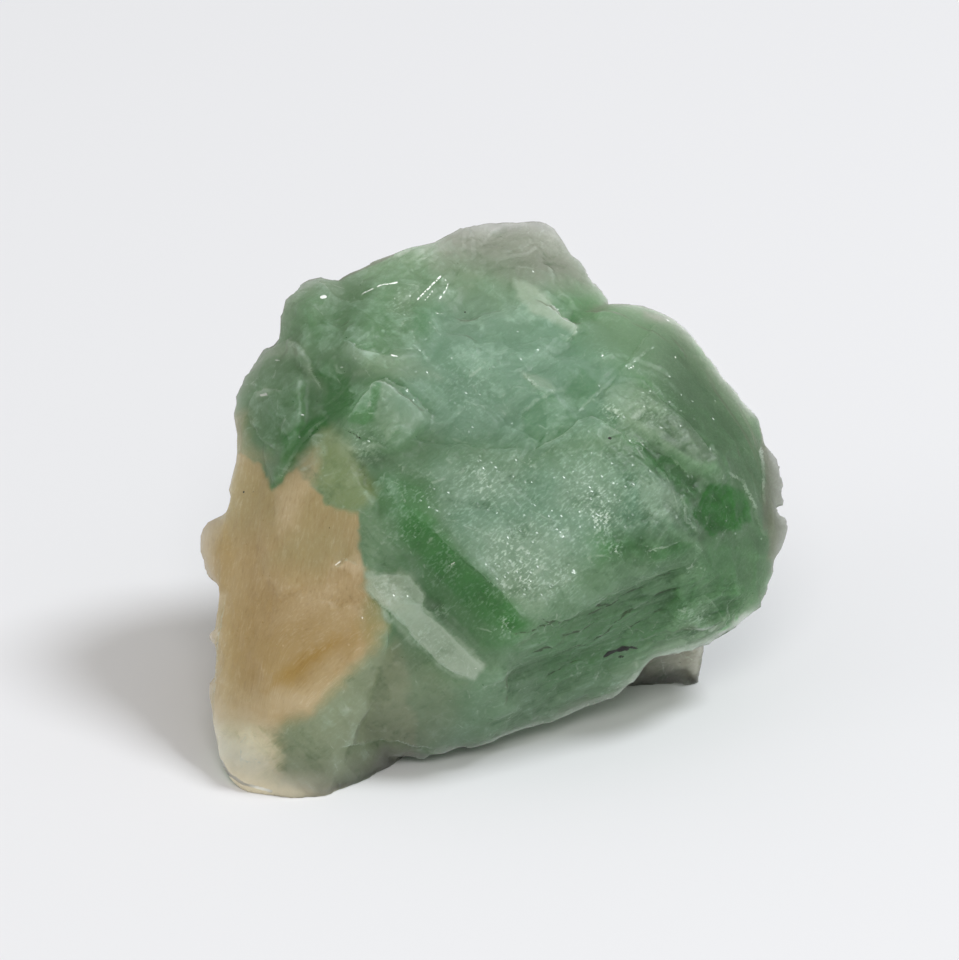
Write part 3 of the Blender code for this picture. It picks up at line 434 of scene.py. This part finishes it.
def broken_edges(spots, facing):
    """The relief of the broken edges, and what the material needs to draw rims, cracks, sparks and grains.

    "step" is the relief (mm), "line" the distance (mm) past the nearest edge line, "rim" how pale its rim is
    (a painted highlight) and "crease" the foot of the step, where painted shade goes. "crack", "spark" and
    "speck" are depths (mm) inside the mark, below 0 outside it; the spark lines are painted glints.
    """
    wander = np.stack([field(spots, 1.1, 8.3), field(spots, 1.1, 29.7)], axis=1) * 0.18
    moved = spots.copy()
    moved[:, :2] += wander
    show = smooth_step(0.0, 0.3, facing)
    marks = {kind: np.zeros(len(spots)) for kind in ("step", "rim", "crease")}
    marks |= {kind: np.full(len(spots), -1.0) for kind in ("crack", "spark", "speck")}
    marks["line"] = np.full(len(spots), 2.0)

    def deepen(kind, here, depth):
        marks[kind][here] = np.maximum(marks[kind][here], depth)

    for height, reach, paleness, line in EDGES:
        here = near(moved, line, max(reach, 2.0))
        gap, side, place = along_line(moved[here], line)
        taper = 1.0 if line[0] == line[-1] else smooth_step(0, 0.12, place) * smooth_step(1, 0.88, place)
        raised = smooth_step(-0.12, 0.12, gap * side)
        slope = np.clip(1 - gap / reach, 0, 1) ** 2
        marks["step"][here] += height * taper * slope * (raised - 0.35)
        closer = gap < np.abs(marks["line"][here])
        marks["line"][here] = np.where(closer, gap * side, marks["line"][here])
        marks["rim"][here] = np.where(closer, paleness * taper, marks["rim"][here])
        # Painted shade goes in the crease at the foot of the step.
        crease = taper * (1 - raised) * np.exp(-gap / 0.7) * min(1.0, height / 0.4)
        deepen("crease", here, crease)
    for line in CRACKS:
        here = near(moved, line, 1.0)
        gap, _, place = along_line(moved[here], line)
        deepen("crack", here, CRACK_WIDTH / 2 * tapered(place) - gap)
    for width, line in SPARKS:
        here = near(spots, line, 1.0)
        gap, _, _ = along_line(spots[here], line)
        deepen("spark", here, width / 2 - gap)
    for size, (across, up) in SPECKS:
        here = near(spots, [(across, up)], 1.0)
        gap = np.hypot(spots[here, 0] - across, spots[here, 1] - up)
        deepen("speck", here, size / 2 - gap)
    for width, line in INCLUSIONS:
        here = near(spots, line, 1.0)
        gap, _, place = along_line(spots[here], line)
        deepen("speck", here, width / 2 * tapered(place) - gap)
    for kind in ("step", "rim", "crease"):
        marks[kind] *= show
    for kind in ("crack", "spark", "speck"):
        marks[kind] = np.where(facing > 0, marks[kind], -1.0)
    return marks


# ---- Relief ----------------------------------------------
UNDERCUT = [
    (4, -12.3), (8, -12), (11, -9.8), (15.7, -7.9), (20, -6.4), (26, -9), (24, -15), (17, -19), (5, -25),
    (-1, -25), (0, -17)]
SHOULDER = [
    (11, 24), (18, 24), (26, 20), (35, 10), (35, -8), (26, -13), (24, -3), (26, 1), (23, 4), (18, 9),
    (13, 12), (9, 17)]
FROSTED = [
    (-9, 1), (-5, 4.2), (4, 4.6), (8.8, 7.8), (10.3, 7.8), (14, 4), (20, 3), (20, -3), (10, -3.6),
    (9.5, -6.5), (7.8, -11), (4.2, -11.8), (0.4, -8.2), (-2.8, -5.4), (-7.1, -1.9)]


def relief(spots, facing, weights, height_above_floor):
    """How far the surface stands out at each spot (mm). It also adds the facets and ridges to the weights."""
    show = smooth_step(-0.1, 0.25, facing)
    cleavage = turned(spots, -43)
    calm = np.maximum(weights["tan"], smooth_step(-2.0, 2.0, inside(spots, SHOULDER)) * show)
    calm = np.maximum(calm, smooth_step(-24.5, -25.5, spots[:, 0]))
    coarse, coarse_tone, coarse_ridge = flakes(cleavage, (5.0, 2.6, 3.0), 0.18, 0.06, 2.0)
    fine, fine_tone, fine_ridge = flakes(turned(spots, 20), (2.2, 1.1, 1.4), 0.18, 0.06, 9.0)
    weights["facet"] = (1 - 0.7 * calm) * (0.6 * coarse_tone + 0.4 * fine_tone - 0.5)
    weights["ridge"] = np.minimum(coarse_ridge, fine_ridge + 0.06) + 0.12 * calm
    rise = (0.9 - 0.7 * calm) * coarse + (0.8 - 0.7 * calm) * fine
    # Cleavage terraces, in patches.
    patches = smooth_step(-0.1, 0.3, field(spots, 7.0, 31.0))
    terrace = 0.12 * (1 - calm)
    rise += terrace * patches * terraces(3.0 * field(cleavage, (9.0, 2.2, 7.0), 41.0))
    rise += terrace * (1 - patches) * terraces(3.0 * field(turned(spots, 38), (8.0, 1.8, 6.0), 51.0))
    # Fibres: nearly upright on the tan side, rising to the right on the undercut face.
    rise += 0.06 * weights["tan"] * field(turned(spots, 84), (9.0, 0.75, 1.6), 61.0)
    undercut = weights["undercut"]
    rise += 0.14 * undercut * field(turned(spots, 19), (8.0, 0.8, 1.5), 81.0)
    rise += 0.16 * undercut * terraces(3.5 * field(turned(spots, 17), (10.0, 1.5, 5.0), 91.0))
    glitter = 0.25 * weights["frost"] + 0.45 * weights["sparkle"]
    rise += glitter * flakes(turned(spots, -35), (1.2, 0.7, 0.8), 0.30, 0.10, 13.0)[0]
    rise += weights["step"] - 0.1 * smooth_step(-0.2, 0.1, weights["crack"])
    return rise * smooth_step(0.0, 0.9, height_above_floor)


VOXEL = 0.22  # mm, the grid of the fine mesh
SKIN = -0.05  # mm, how far the surface stands out before its relief
MOST_TRIANGLES = 190_000
PLAIN_FIRST = 0.001  # how strongly plain places lose triangles first; at 20 the hidden back caved in
# Roughly toward the key lamp: faces of the right end that look this way get painted shade.
RIGHT_AND_UP = np.array([0.73, 0.0, 0.68])
# Where the crystal lets some light straight through: how much, and the outline.
CLEAR = [
    (0.12, [(27.2, 7), (32, 6), (32, -8), (28.2, -7), (27.4, -0.5)]),
    (0.25, [(-27, 17), (-19, 24), (-12, 22), (-13, 13), (-18, 3), (-22, 2), (-26, 8)]),
    (0.2, [(-7, 31), (9, 31), (11, 22), (4, 22), (-4, 24)]),
]


def standing_out(mesh, points, rounds):
    """How far (mm) each point stands out from the surface evened out over some rounds of smoothing."""
    ends = np.empty(len(mesh.edges) * 2, np.int32)
    mesh.edges.foreach_get("vertices", ends)
    first, second = ends.reshape(-1, 2).T
    count = len(points)
    share = 1 / np.maximum(np.bincount(first, minlength=count) + np.bincount(second, minlength=count), 1)
    normals = np.empty(count * 3, np.float32)
    mesh.update()
    mesh.vertex_normals.foreach_get("vector", normals)
    normals = normals.reshape(-1, 3)
    even, found = points.copy(), []
    for done in range(1, max(rounds) + 1):
        even = np.stack([
            share * (np.bincount(first, even[second, axis], count)
                     + np.bincount(second, even[first, axis], count))
            for axis in range(3)], axis=1)
        if done in rounds:
            found.append(((points - even) * normals).sum(axis=1) / MM)
    return found


def evaluated_mesh(item):
    mesh = bpy.data.meshes.new_from_object(item.evaluated_get(bpy.context.evaluated_depsgraph_get()))
    item.modifiers.clear()
    return mesh


def side_weights(points, normals, spots, facing):
    """Where the stone turns away from the show side, is thin, or comes near the floor, mostly for painted
    light and shade.
    """
    across, up = spots[:, 0], spots[:, 1]
    height = points[:, 2] / MM
    right_or_up = normals @ np.array(0.8 * ACROSS + 0.6 * UP)
    left_or_up = normals @ np.array(0.8 * UP - 0.6 * ACROSS)
    turning = smooth_step(0.42, 0.05, facing) * smooth_step(-0.9, -0.3, facing)
    side = smooth_step(0.0, 0.6, np.maximum(right_or_up, left_or_up)) * turning
    # The lower edge of the stone above the feet, the thin strip on the left, and the thin chips on the right.
    lower = smooth_step(-0.15, -0.6, normals[:, 2]) * smooth_step(0.5, 0.1, facing)
    lower *= smooth_step(2, 5, height) * smooth_step(-0.6, -0.2, facing)
    strip = smooth_step(-25.8, -27.6, across) * smooth_step(9, 6, up) * smooth_step(-24, -20, up)
    chips = smooth_step(25.8, 27.0, across)
    # Painted light: the front-left foot paler near the floor, where contact shade would fall.
    base = smooth_step(3.2, 0.6, height) * smooth_step(-0.3, 0.1, facing)
    base *= smooth_step(-14, -21, across)
    return {
        # Painted shade: the right end darker where it faces the key lamp.
        "key_lit_painted_shade": smooth_step(0.35, 0.95, normals @ RIGHT_AND_UP) * smooth_step(13, 20, across),
        "base": base,
        # Painted shade: the sides darker where they turn away from the show side, and the lower edge above
        # the feet.
        "side": np.maximum(side * smooth_step(27.5, 26, across), 0.6 * lower),
        "solid": np.maximum.reduce([
            0.5 * strip, 0.9 * lower, 0.8 * base, 0.5 * chips, 0.5 * smooth_step(0.5, 0.1, facing)]),
        "rim_side": smooth_step(0.6, 0.1, facing),
        # Painted light: downward faces paler green, as if lit by light passing through the stone.
        "under": smooth_step(-0.4, -0.75, normals[:, 2]) * smooth_step(-0.05, -0.35, facing),
        "fan": smooth_step(-8, -15, up) * smooth_step(-25.5, -19, across),
    }


def thinned_out(stone, weights, facing):
    """The stone's mesh with fewer triangles, first where it is plain or hidden from the show side."""
    edges = smooth_step(0.5, 0.2, np.abs(weights["line"])) * (weights["rim"] > 0)
    marks = [weights[kind] > -0.3 for kind in ("crack", "spark", "speck")]
    marked = np.maximum.reduce([edges, *marks])
    plainness = np.where(facing < 0.05, 1.0, np.where(marked > 0.5, 0.2, 0.6))
    plain = stone.vertex_groups.new(name="plain")
    for level in np.unique(plainness).tolist():
        plain.add(np.flatnonzero(plainness == level).tolist(), level, "REPLACE")
    fewer = stone.modifiers.new("fewer", "DECIMATE")
    fewer.vertex_group = "plain"
    fewer.vertex_group_factor = PLAIN_FIRST
    fewer.use_collapse_triangulate = True
    fewer.ratio = min(1.0, MOST_TRIANGLES / (2 * len(stone.data.polygons)))
    return evaluated_mesh(stone)


def fine_stone(cad):
    """A fine even mesh of the CAD solid with the broken relief on it, and the zones as point attributes."""
    stone = bpy.data.objects.new("fluorite_crystal", cad.data.copy())
    bpy.context.scene.collection.objects.link(stone)
    stone.data.materials.clear()
    skin = stone.modifiers.new("skin", "REMESH")
    skin.mode = "VOXEL"
    skin.voxel_size = VOXEL * MM
    skin.use_smooth_shade = True
    ease = stone.modifiers.new("ease", "SMOOTH")
    ease.factor = 0.5
    ease.iterations = 3
    stone.data = mesh = evaluated_mesh(stone)

    count = len(mesh.vertices)
    points = np.empty(count * 3)
    normals = np.empty(count * 3, np.float32)
    mesh.vertices.foreach_get("co", points)
    mesh.vertex_normals.foreach_get("vector", normals)
    points, normals = points.reshape(-1, 3), normals.reshape(-1, 3).astype(float)
    spots = on_show_face(points)
    facing = normals @ np.array(TOWARD)
    show = smooth_step(-0.1, 0.25, facing)
    weights = zone_weights(spots, facing) | broken_edges(spots, facing)
    weights["frost"] = smooth_step(-1.5, 3.5, inside(spots, FROSTED) + 1.5 * field(spots, 2.5, 71.0)) * show
    weights["undercut"] = smooth_step(-0.8, 0.8, inside(spots, UNDERCUT)) * show
    weights |= side_weights(points, normals, spots, facing)
    rise = relief(spots, facing, weights, points[:, 2] / MM) + SKIN
    points += normals * rise[:, None] * MM
    points[:, 2] = np.maximum(points[:, 2], 0.0)
    mesh.vertices.foreach_set("co", points.ravel())
    # How far each point stands out, for the painted light on ridges and shade in hollows.
    weights["edge"], weights["swell"] = standing_out(mesh, points, (6, 140))
    weights["thin"] = np.maximum.reduce([
        smooth_step(-1.5, 1.0, inside(spots, outline)) * strength for strength, outline in CLEAR])
    for name, weight in weights.items():
        mesh.attributes.new(name, "FLOAT", "POINT").data.foreach_set("value", weight)
    stone.data = mesh = thinned_out(stone, weights, facing)
    mesh.shade_smooth()
    return stone


# ---- Material --------------------------------------------
GREEN = (0.118, 0.207, 0.117)
PALETTE = {
    "tan": (0.365, 0.270, 0.135),
    "cream": (0.50, 0.40, 0.26),
    "olive": (0.20, 0.245, 0.115),
    "rust": (0.31, 0.20, 0.055),
    "pale": (0.33, 0.40, 0.315),
    "grey": (0.215, 0.245, 0.155),
    # Painted light: light shining through the front-left foot.
    "painted_glow": (0.80, 0.72, 0.47),
    "mauve": (0.235, 0.235, 0.205),
    # Painted shade: the back-right foot under the front lip and the right chips.
    "shade": (0.085, 0.082, 0.052),
    "deep": (0.028, 0.150, 0.026),
    "blue": (0.150, 0.262, 0.182),
}
VEIL = (0.40, 0.55, 0.45)
WARM_VEIL = (0.60, 0.51, 0.38)
# Painted highlight on the rims of broken edges and on the facet ridges.
PAINTED_RIM_HIGHLIGHT = (0.42, 0.50, 0.42)
# Whiter flecks where the stone glitters, partly painted glints.
FLECK = (0.66, 0.74, 0.66)
# Painted shade on the sides that turn away from the show side.
PAINTED_SIDE_SHADE = (0.115, 0.125, 0.085)
WARM_PAINTED_SIDE_SHADE = (0.30, 0.22, 0.10)
# Painted light on the front-left foot near the floor.
PAINTED_FOOT_LIGHT = (0.72, 0.64, 0.49)
# Painted light on the underside.
PAINTED_UNDERSIDE_LIGHT = (0.55, 0.72, 0.50)
# What the colour is multiplied by where it is darkest: in its darker tones and under painted shade.
DEEPER = (0.16, 0.36, 0.17)
WARM_DEEPER = (0.42, 0.32, 0.22)
CRACK = (0.03, 0.05, 0.02)
SPECK = (0.01, 0.01, 0.008)
# Painted glint colour of the glint lines and of the bright line along the foot's bottom edge.
PAINTED_GLINT = (0.75, 0.76, 0.72)
# Fluorite's refraction, how far light wanders inside it for each colour, and what the clear parts absorb.
FLUORITE_IOR = 1.434
WANDER_COLOURS = (0.9, 0.9, 0.82)
WANDER = 45.0  # mm
ABSORBED = (0.42, 0.72, 0.48, 1)
ABSORPTION = 45.0  # for each metre


class Nodes:
    """Small helpers that keep the node setup readable."""

    def __init__(self, material):
        self.tree = material.node_tree

    def add(self, kind, **settings):
        node = self.tree.nodes.new(kind)
        for name, value in settings.items():
            setattr(node, name, value)
        return node

    def feed(self, socket, value):
        if isinstance(value, bpy.types.NodeSocket):
            self.tree.links.new(value, socket)
        elif isinstance(value, tuple) and len(value) == 3 and socket.type == "RGBA":
            socket.default_value = (*value, 1.0)
        else:
            socket.default_value = value

    def attribute(self, name):
        return self.add("ShaderNodeAttribute", attribute_name=name).outputs["Fac"]

    def feed_all(self, sockets, values):
        for socket, value in zip(sockets, values):
            self.feed(socket, value)

    def math(self, operation, first, second=0.0, third=0.0):
        node = self.add("ShaderNodeMath", operation=operation)
        self.feed_all(node.inputs, (first, second, third))
        return node.outputs[0]

    def times(self, first, second):
        return self.math("MULTIPLY", first, second)

    def times_plus(self, first, second, third):
        return self.math("MULTIPLY_ADD", first, second, third)

    def mixed(self, data_type, first_socket, output, values):
        """The first to the second as the factor goes from 0 to 1. values are the factor, first and second."""
        node = self.add("ShaderNodeMix", data_type=data_type)
        self.feed_all((node.inputs[0], node.inputs[first_socket], node.inputs[first_socket + 1]), values)
        return node.outputs[output]

    def mix(self, factor, first, second):
        return self.mixed("RGBA", 6, 2, (factor, first, second))

    def blend(self, factor, first, second):
        return self.mixed("FLOAT", 2, 0, (factor, first, second))

    def blend_places(self, factor, first, second):
        return self.mixed("VECTOR", 4, 1, (factor, first, second))

    def vector(self, operation, first, second=None, scale=None):
        node = self.add("ShaderNodeVectorMath", operation=operation)
        self.feed(node.inputs[0], first)
        if second is not None:
            self.feed(node.inputs[1], second)
        if scale is not None:
            self.feed(node.inputs["Scale"], scale)
        return node.outputs[0]

    def scale_colour(self, colour, by):
        return self.vector("SCALE", colour, scale=by)

    def range(self, value, low, high, to_low=0.0, to_high=1.0):
        node = self.add("ShaderNodeMapRange", interpolation_type="SMOOTHSTEP")
        self.feed_all(node.inputs[:5], (value, low, high, to_low, to_high))
        return node.outputs[0]

    def grain(self, degrees, stretch=(1, 1, 1)):
        """Show-face coordinates in millimetres, turned to a grain angle and squeezed along it."""
        place = self.add("ShaderNodeTexCoord").outputs["Object"]
        turn = Matrix([ACROSS, UP, TOWARD])
        grain = Matrix.Rotation(-math.radians(degrees), 3, "Z") @ turn
        mapping = self.add("ShaderNodeMapping")
        mapping.inputs["Rotation"].default_value = grain.to_euler()
        mapping.inputs["Scale"].default_value = (1000, 1000, 1000)
        self.feed(mapping.inputs["Vector"], place)
        squeeze = self.add("ShaderNodeVectorMath", operation="MULTIPLY")
        self.feed(squeeze.inputs[0], mapping.outputs[0])
        squeeze.inputs[1].default_value = tuple(1 / size for size in stretch)
        return squeeze.outputs[0]

    def noise(self, place, scale=1.0, detail=3.0, roughness=0.5, distortion=0.0):
        node = self.add("ShaderNodeTexNoise")
        settings = {"Scale": scale, "Detail": detail, "Roughness": roughness, "Distortion": distortion}
        for name, value in settings.items():
            node.inputs[name].default_value = value
        self.feed(node.inputs["Vector"], place)
        return node.outputs["Fac"]


# A tiny facet that lies along this direction throws the key light straight at the camera.
GLINT_FACET = Vector((0.337, -0.524, 0.782))


def broken_grain(n, tan, undercut):
    """Fine broken grain, and a finer speckle.

    The grain runs along either cleavage in most places, upright on the tan side, and rises to the right on
    the undercut face.
    """
    swap = n.range(n.noise(n.grain(0, (5, 5, 5)), 1.0, 0), 0.46, 0.54)
    along = n.blend_places(swap, n.grain(-42, (1.5, 0.6, 1.0)), n.grain(38, (1.3, 0.6, 1.0)))
    fibres = n.blend_places(n.attribute("fan"), n.grain(80, (1.2, 0.26, 0.6)), n.grain(48, (1.2, 0.28, 0.6)))
    along = n.blend_places(tan, along, fibres)
    along = n.blend_places(undercut, along, n.grain(18, (6.0, 0.35, 1.0)))
    return n.noise(along, 1.0, 4, 0.68, 0.25), n.noise(n.grain(42, (0.50, 0.23, 0.35)), 1.0, 1, 0.6)


def zone_colour(n, grain):
    """The zones' colours, with ragged borders, and painted light on the underside."""
    ragged = n.times_plus(grain, 0.5, -0.25)
    colour = GREEN
    for kind in KINDS:
        weight = n.attribute(kind)
        edge = n.times(n.times(weight, n.math("SUBTRACT", 1.0, weight)), 4.0)
        colour = n.mix(n.times_plus(ragged, edge, weight), colour, PALETTE[kind])
    return n.mix(n.attribute("under"), colour, PAINTED_UNDERSIDE_LIGHT)


def with_depth(n, colour, tan, undercut, frost, sparkle, grain, speckle, cloud):
    """The colour with clouds, facets of their own depth, and painted light and shade: ridges paler than
    hollows.
    """
    contrast = n.times_plus(undercut, 0.8, n.times_plus(frost, 0.25, 0.35))
    contrast = n.times_plus(tan, 0.7, contrast)
    shade = n.times_plus(cloud, 0.32, 0.84)
    shade = n.times(shade, n.times_plus(n.math("SUBTRACT", grain, 0.5), contrast, 1.0))
    shade = n.times(shade, n.times_plus(n.attribute("facet"), 0.5, 1.0))
    fine = n.times_plus(frost, 0.35, 0.18)
    shade = n.times(shade, n.times_plus(n.math("SUBTRACT", speckle, 0.5), fine, 1.0))
    shade = n.times(shade, n.math("ADD", n.attribute("cloud"), 1.0))
    shade = n.times(shade, n.times_plus(sparkle, -0.15, 1.0))
    # Painted light and shade: ridges paler, hollows darker.
    ridge = n.times_plus(n.attribute("swell"), 0.10, 1.0)
    ridge = n.times_plus(n.attribute("edge"), 1.1, ridge)
    ridge = n.math("MINIMUM", n.math("MAXIMUM", ridge, 0.72), 1.4)
    shade = n.times(shade, ridge)
    milky = n.mix(tan, VEIL, WARM_VEIL)
    deeper = n.range(shade, 1.0, 0.3, 0.0, 1.0)
    colour = n.vector("MULTIPLY", colour, n.mix(deeper, (1.0, 1.0, 1.0), n.mix(tan, DEEPER, WARM_DEEPER)))
    colour = n.mix(n.range(shade, 1.0, 2.0, 0.0, 0.55), colour, milky)
    # White veils: thin fractures under the surface, thickest where the stone glitters. There the whiter
    # flecks are partly painted glints.
    veil = n.blend(n.blend(tan, 0.65, 0.15), grain, speckle)
    strength = n.times_plus(frost, 0.16, n.times_plus(tan, 0.10, 0.06))
    strength = n.times_plus(sparkle, 0.7, strength)
    veil = n.times(n.range(veil, 0.50, 0.64), strength)
    veil = n.times(veil, n.range(cloud, 0.40, 0.60, 0.45, 1.0))
    colour = n.mix(veil, colour, n.mix(sparkle, milky, FLECK))
    return colour


def with_sides(n, colour, tan):
    """Painted shade on the sides and key-lit right end, and painted light on the foot near the floor."""
    colour = n.mix(n.times(n.attribute("side"), 0.7), colour, n.mix(tan, PAINTED_SIDE_SHADE, WARM_PAINTED_SIDE_SHADE))
    colour = n.scale_colour(colour, n.times_plus(n.attribute("key_lit_painted_shade"), -0.4, 1.0))
    return n.mix(n.times(n.attribute("base"), 0.7), colour, PAINTED_FOOT_LIGHT)


def with_marks(n, colour, speckle, cloud):
    """The colour with its marks, and how much of a rim and of a spark there is.

    A broken edge has a thin pale rim that comes and goes, a painted highlight, and deeper green in the
    crease under it, painted shade.
    """
    jagged = n.times_plus(speckle, 0.5, -0.25)
    # Pale hairlines along the facet ridges: painted highlights.
    hairline = n.range(n.times_plus(jagged, 0.2, n.attribute("ridge")), 0.09, 0.01)
    hairline = n.times(hairline, n.range(cloud, 0.48, 0.58, 0.0, 0.35))
    colour = n.mix(hairline, colour, PAINTED_RIM_HIGHLIGHT)
    # Painted shade: deeper green in the crease under each broken edge.
    colour = n.mix(n.times(n.attribute("crease"), 0.3), colour, PALETTE["deep"])
    off_line = n.math("ABSOLUTE", n.math("ADD", n.attribute("line"), jagged))
    rim = n.times(n.range(off_line, 0.16, 0.02), n.range(cloud, 0.42, 0.55, 0.25, 1.0))
    colour = n.mix(n.times(rim, n.attribute("rim")), colour, PAINTED_RIM_HIGHLIGHT)
    crack = n.range(n.times_plus(jagged, 0.3, n.attribute("crack")), -0.02, 0.04)
    colour = n.mix(n.times(crack, 0.8), colour, CRACK)
    speck = n.range(n.times_plus(jagged, 0.3, n.attribute("speck")), -0.02, 0.03)
    colour = n.mix(speck, colour, SPECK)
    # Painted glints: pale colour along the glint lines.
    spark = n.range(n.times_plus(jagged, 0.15, n.attribute("spark")), -0.01, 0.04)
    colour = n.mix(n.times(spark, 0.6), colour, PAINTED_GLINT)
    return colour, rim, spark


def glittering(n, frost, sparkle, grain, speckle, rim, spark):
    """The surface's normal, and how much of the key light each tiny facet catches.

    Each facet leans its own way, and a few lie near the cleavage plane that catches the key light.
    """
    bump = n.add("ShaderNodeBump")
    bump.inputs["Distance"].default_value = 0.12 * MM
    n.feed(bump.inputs["Strength"], n.times_plus(sparkle, 0.3, 0.2))
    n.feed(bump.inputs["Height"], grain)
    facet = n.add("ShaderNodeTexVoronoi", feature="F1")
    facet.inputs["Scale"].default_value = 6.5
    n.feed(facet.inputs["Vector"], n.grain(-42, (1.4, 0.8, 1.0)))
    lean = n.vector("SUBTRACT", facet.outputs["Color"], (0.5, 0.5, 0.5))
    lean = n.vector("SCALE", lean, scale=n.times_plus(sparkle, 0.45, 0.16))
    normal = n.vector("ADD", bump.outputs[0], lean)
    pick = n.add("ShaderNodeTexWhiteNoise", noise_dimensions="3D")
    n.feed(pick.inputs["Vector"], facet.outputs["Position"])
    share = n.times_plus(frost, 0.006, 0.0015)
    share = n.times_plus(sparkle, 0.05, share)
    chance = n.math("DIVIDE", n.math("SUBTRACT", share, pick.outputs["Value"]), share)
    caught = n.math("MAXIMUM", n.times(chance, 7.0), n.times(spark, 9.0))
    caught = n.math("MAXIMUM", caught, n.times(rim, n.range(speckle, 0.58, 0.68, 0.0, 4.0)))
    caught = n.math("MAXIMUM", caught, 0.0)
    normal = n.vector("ADD", normal, n.vector("SCALE", tuple(GLINT_FACET), scale=caught))
    return n.vector("NORMALIZE", normal), caught


def crystal_material():
    material = bpy.data.materials.new("fluorite_crystal")
    material.use_nodes = True
    n = Nodes(material)
    shader = material.node_tree.nodes["Principled BSDF"]
    tan, undercut, frost = n.attribute("tan"), n.attribute("undercut"), n.attribute("frost")
    sparkle = n.attribute("sparkle")
    grain, speckle = broken_grain(n, tan, undercut)
    cloud = n.noise(n.grain(-30, (4.0, 2.4, 3.2)), 1.0, 3, 0.62, 0.5)

    colour = zone_colour(n, grain)
    colour = with_depth(n, colour, tan, undercut, frost, sparkle, grain, speckle, cloud)
    colour = with_sides(n, colour, tan)
    colour, rim, spark = with_marks(n, colour, speckle, cloud)
    n.feed(shader.inputs["Base Color"], colour)
    normal, caught = glittering(n, frost, sparkle, grain, speckle, rim, spark)
    n.feed(shader.inputs["Normal"], normal)
    dull = n.blend(n.attribute("rim_side"), 0.46, 0.95)
    n.feed(shader.inputs["Roughness"], n.range(caught, 0.5, 3.0, dull, 0.2))

    shader.inputs["IOR"].default_value = FLUORITE_IOR
    shader.subsurface_method = "RANDOM_WALK"
    n.feed(shader.inputs["Subsurface Weight"], n.math("SUBTRACT", 1.0, n.attribute("solid")))
    shader.inputs["Subsurface Radius"].default_value = WANDER_COLOURS
    shader.inputs["Subsurface Scale"].default_value = WANDER * MM
    n.feed(shader.inputs["Transmission Weight"], n.attribute("thin"))
    absorb = n.add("ShaderNodeVolumeAbsorption")
    absorb.inputs["Color"].default_value = ABSORBED
    absorb.inputs["Density"].default_value = ABSORPTION
    output = next(node for node in material.node_tree.nodes if node.type == "OUTPUT_MATERIAL")
    n.feed(output.inputs["Volume"], absorb.outputs[0])
    return material


# ---- Stage -----------------------------------------------
FLOOR_SIZE = 3.0  # metres, from its middle to its edge
FLOOR_COLOUR = (0.785, 0.785, 0.825, 1)
COOL_KEY = (0.95, 0.985, 1.0)
WARM_FILL = (1.0, 0.985, 0.93)
SKY_STRENGTH = 0.44
# Each lamp: its place and size (metres), its power (watts) and its colour.
LAMPS = {
    "key": ((0.85, 0.09, 1.29), 0.45, 13.8, COOL_KEY),
    "front": ((0.00, -1.10, 1.10), 0.7, 6.4, WARM_FILL),
    "left": ((-1.40, -0.60, 0.40), 0.7, 3.0, WARM_FILL),
}
LIT_POINT = Vector((0, 0, 0.015))


def floor():
    shape = bmesh.new()
    bmesh.ops.create_grid(shape, x_segments=1, y_segments=1, size=FLOOR_SIZE)
    mesh = bpy.data.meshes.new("floor")
    shape.to_mesh(mesh)
    shape.free()
    plane = bpy.data.objects.new("floor", mesh)
    bpy.context.scene.collection.objects.link(plane)
    material = bpy.data.materials.new("floor")
    material.use_nodes = True
    paper = material.node_tree.nodes["Principled BSDF"]
    paper.inputs["Base Color"].default_value = FLOOR_COLOUR
    paper.inputs["Roughness"].default_value = 0.9
    paper.inputs["Specular IOR Level"].default_value = 0.1
    mesh.materials.append(material)


def lamp(name, place, size, power, colour):
    light = bpy.data.lights.new(name, "AREA")
    light.color = colour
    light.shape = "DISK"
    light.size = size
    light.energy = power
    item = bpy.data.objects.new(name, light)
    item.location = place
    item.rotation_euler = (LIT_POINT - Vector(place)).to_track_quat("-Z", "Y").to_euler()
    bpy.context.scene.collection.objects.link(item)


def studio():
    world = bpy.data.worlds.new("studio")
    world.use_nodes = True
    background = world.node_tree.nodes["Background"]
    background.inputs["Color"].default_value = (*WARM_FILL, 1)
    background.inputs["Strength"].default_value = SKY_STRENGTH
    bpy.context.scene.world = world
    for name, (place, size, power, colour) in LAMPS.items():
        lamp(name, place, size, power, colour)


SENSOR = 36  # mm, Blender's usual camera sensor
CAMERA_DISTANCE = 0.9  # metres
VIEW_WIDTH = 0.0959  # metres across the picture at the stone's middle
VIEW_SHIFT = (-1.05, 2.0)  # the picture's middle, across and up from the middle of the show face


def camera():
    lens = bpy.data.cameras.new("camera")
    lens.sensor_width = SENSOR
    lens.lens = SENSOR * CAMERA_DISTANCE / VIEW_WIDTH
    lens.clip_start = 0.01
    eye = bpy.data.objects.new("camera", lens)
    target = CENTRE + MM * (VIEW_SHIFT[0] * ACROSS + VIEW_SHIFT[1] * UP)
    eye.matrix_world = Matrix.Translation(target + CAMERA_DISTANCE * TOWARD) @ Matrix(
        (ACROSS, UP, TOWARD)).transposed().to_4x4()
    bpy.context.scene.collection.objects.link(eye)
    bpy.context.scene.camera = eye


stone = fine_stone(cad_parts["fluorite"])
stone.data.materials.append(crystal_material())
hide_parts("fluorite")
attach(stone, "root")
floor()
studio()
camera()
bpy.context.scene.view_settings.view_transform = "Standard"
